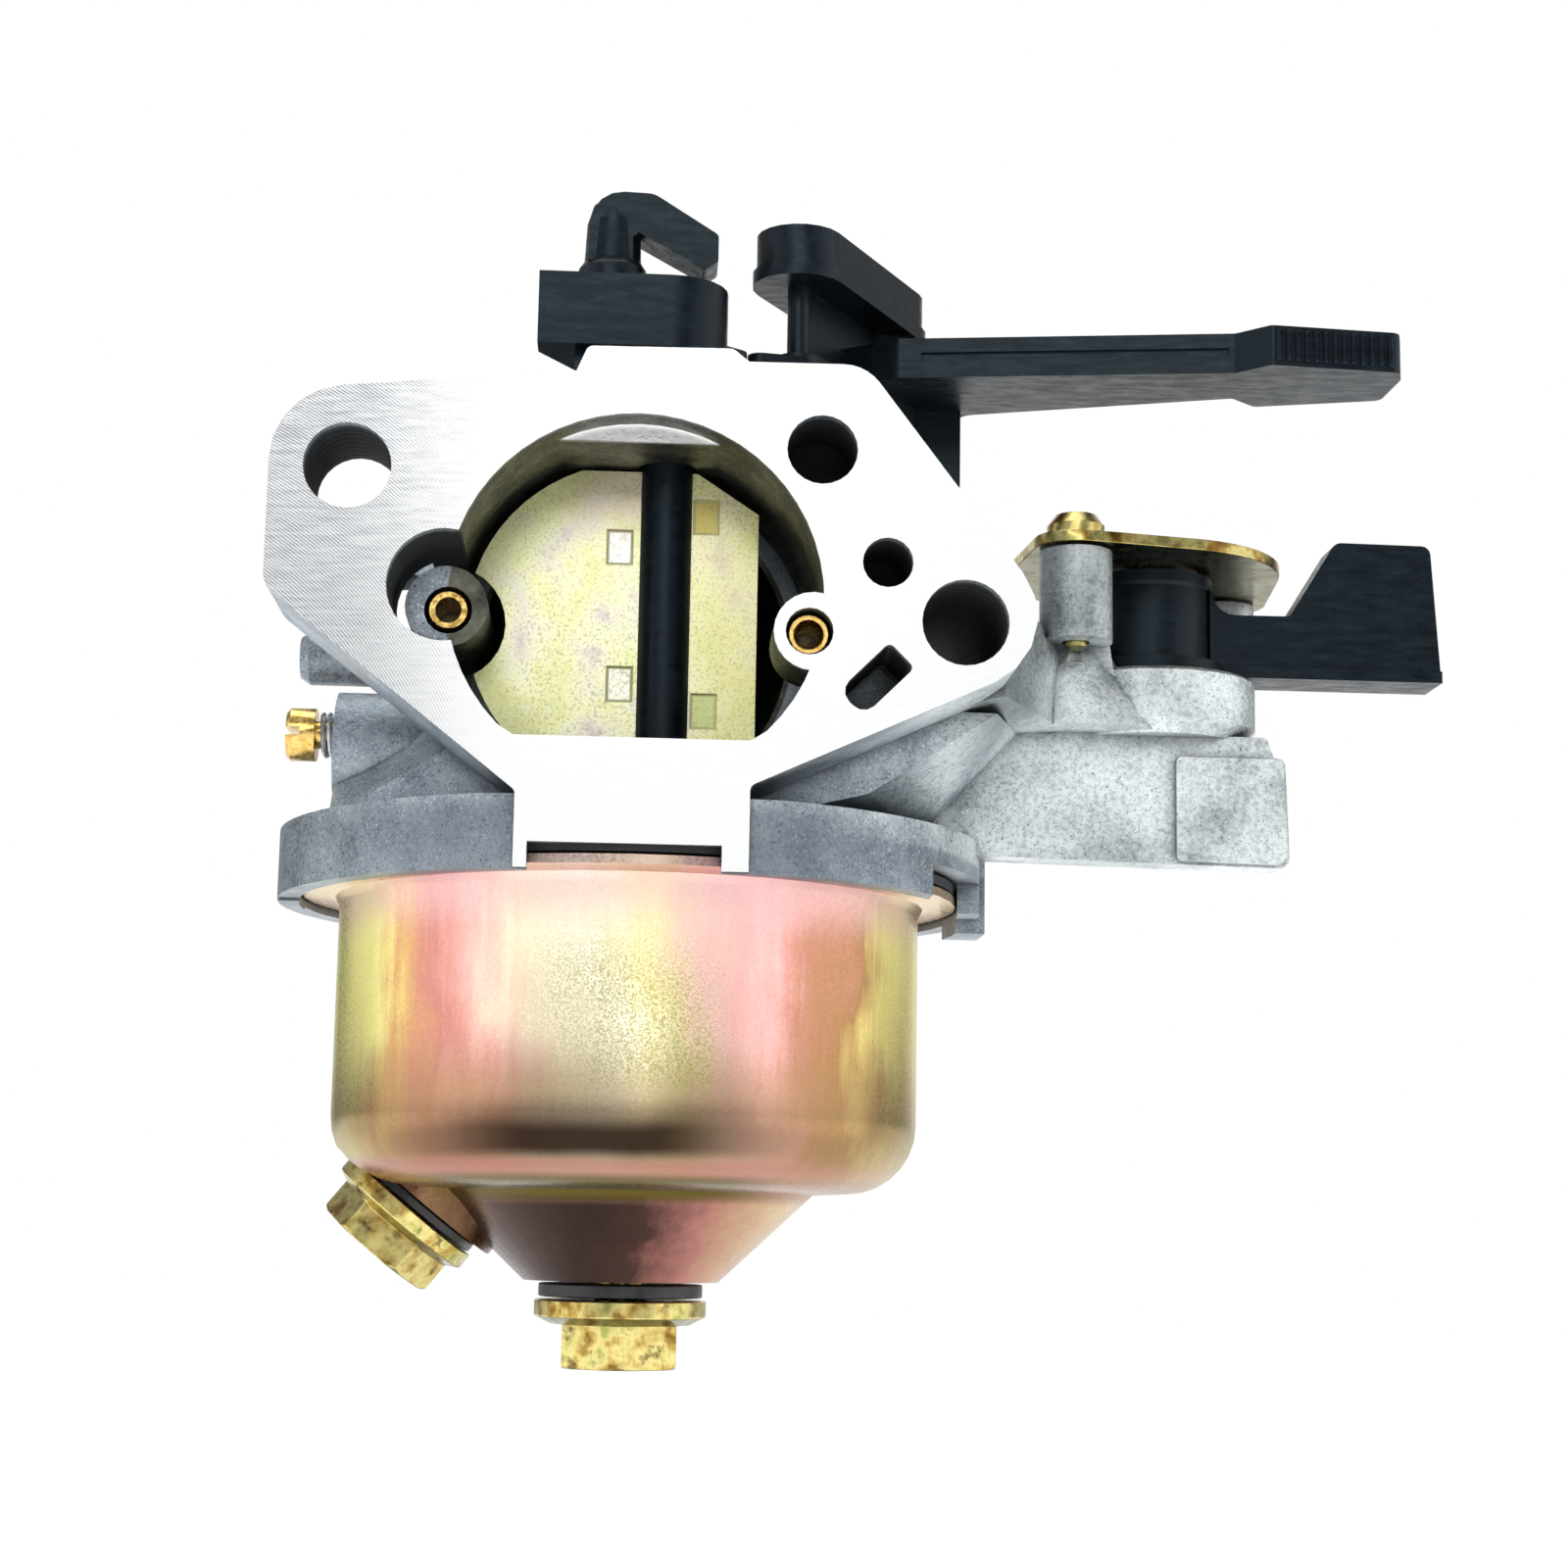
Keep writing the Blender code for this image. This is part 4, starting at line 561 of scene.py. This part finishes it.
def camera():
    """The eye in front of and just below the part, looking slightly up at it."""
    eye = Vector(EYE_MM) * MM
    pan, tilt, roll = (math.radians(angle) for angle in PAN_TILT_ROLL)
    ahead = Vector((math.sin(pan) * math.cos(tilt), math.cos(pan) * math.cos(tilt),
                    math.sin(tilt)))
    level = Vector((math.cos(pan), -math.sin(pan), 0.0))
    over = level.cross(ahead)
    right = level * math.cos(roll) + over * math.sin(roll)
    up = over * math.cos(roll) - level * math.sin(roll)
    data = bpy.data.cameras.new("studio_camera")
    data.sensor_width = SENSOR_MM
    data.lens = LENS_MM
    data.clip_start = 0.01
    data.clip_end = 50.0
    obj = bpy.data.objects.new("studio_camera", data)
    obj.matrix_world = Matrix(((right.x, up.x, -ahead.x, eye.x),
                               (right.y, up.y, -ahead.y, eye.y),
                               (right.z, up.z, -ahead.z, eye.z),
                               (0, 0, 0, 1)))
    bpy.context.scene.collection.objects.link(obj)
    bpy.context.scene.camera = obj


def softbox(name, position, width, height, power):
    """A white rectangular lamp turned towards the part."""
    data = bpy.data.lights.new(name, "AREA")
    data.shape = "RECTANGLE"
    data.size = width
    data.size_y = height
    data.energy = power
    obj = bpy.data.objects.new(name, data)
    obj.location = position
    facing = Vector(LIGHTS_AIM) - Vector(position)
    obj.rotation_euler = facing.to_track_quat("-Z", "Y").to_euler()
    bpy.context.scene.collection.objects.link(obj)


def studio_floor():
    """A plain pale floor, far enough below the part to show no edge."""
    mesh = bpy.data.meshes.new("studio_floor")
    corners = ((-1, -1), (1, -1), (1, 1), (-1, 1))
    mesh.from_pydata([(x * FLOOR_REACH, y * FLOOR_REACH, FLOOR_HEIGHT) for x, y in corners], [],
                     [(0, 1, 2, 3)])
    floor = bpy.data.objects.new("studio_floor", mesh)
    bpy.context.scene.collection.objects.link(floor)
    pale = bpy.data.materials.new("pale_floor")
    pale.use_nodes = True
    shader = pale.node_tree.nodes["Principled BSDF"]
    shader.inputs["Base Color"].default_value = (0.92, 0.92, 0.92, 1.0)
    shader.inputs["Roughness"].default_value = 0.9
    shader.inputs["Emission Color"].default_value = (1.0, 1.0, 1.0, 1.0)
    shader.inputs["Emission Strength"].default_value = FLOOR_GLOW
    mesh.materials.append(pale)


def studio_world():
    """A soft room, brighter above, that the camera itself sees as plain white."""
    world = bpy.data.worlds.new("studio_world")
    bpy.context.scene.world = world
    world.use_nodes = True
    tree = world.node_tree
    tree.nodes.clear()
    place = tree.nodes.new("ShaderNodeTexCoord")
    split = tree.nodes.new("ShaderNodeSeparateXYZ")
    tree.links.new(place.outputs["Generated"], split.inputs[0])
    ramp = tree.nodes.new("ShaderNodeValToRGB")
    while len(ramp.color_ramp.elements) < len(ROOM_LEVELS):
        ramp.color_ramp.elements.new(0.5)
    for element, (position, level) in zip(ramp.color_ramp.elements, ROOM_LEVELS):
        element.position = position
        element.color = (level, level, level * 1.01, 1.0)
    rise = tree.nodes.new("ShaderNodeMapRange")
    rise.inputs[1].default_value = -1.0
    rise.inputs[2].default_value = 1.0
    tree.links.new(split.outputs[2], rise.inputs[0])
    tree.links.new(rise.outputs[0], ramp.inputs[0])
    room = tree.nodes.new("ShaderNodeBackground")
    tree.links.new(ramp.outputs[0], room.inputs[0])
    room.inputs[1].default_value = ROOM_STRENGTH
    white = tree.nodes.new("ShaderNodeBackground")
    white.inputs[0].default_value = (1, 1, 1, 1)
    white.inputs[1].default_value = 1.0
    path = tree.nodes.new("ShaderNodeLightPath")
    choose = tree.nodes.new("ShaderNodeMixShader")
    output = tree.nodes.new("ShaderNodeOutputWorld")
    tree.links.new(path.outputs["Is Camera Ray"], choose.inputs[0])
    tree.links.new(room.outputs[0], choose.inputs[1])
    tree.links.new(white.outputs[0], choose.inputs[2])
    tree.links.new(choose.outputs[0], output.inputs[0])


camera()
studio_floor()
studio_world()
for light in LIGHTS:
    softbox(*light)
bpy.context.scene.view_settings.view_transform = "Standard"
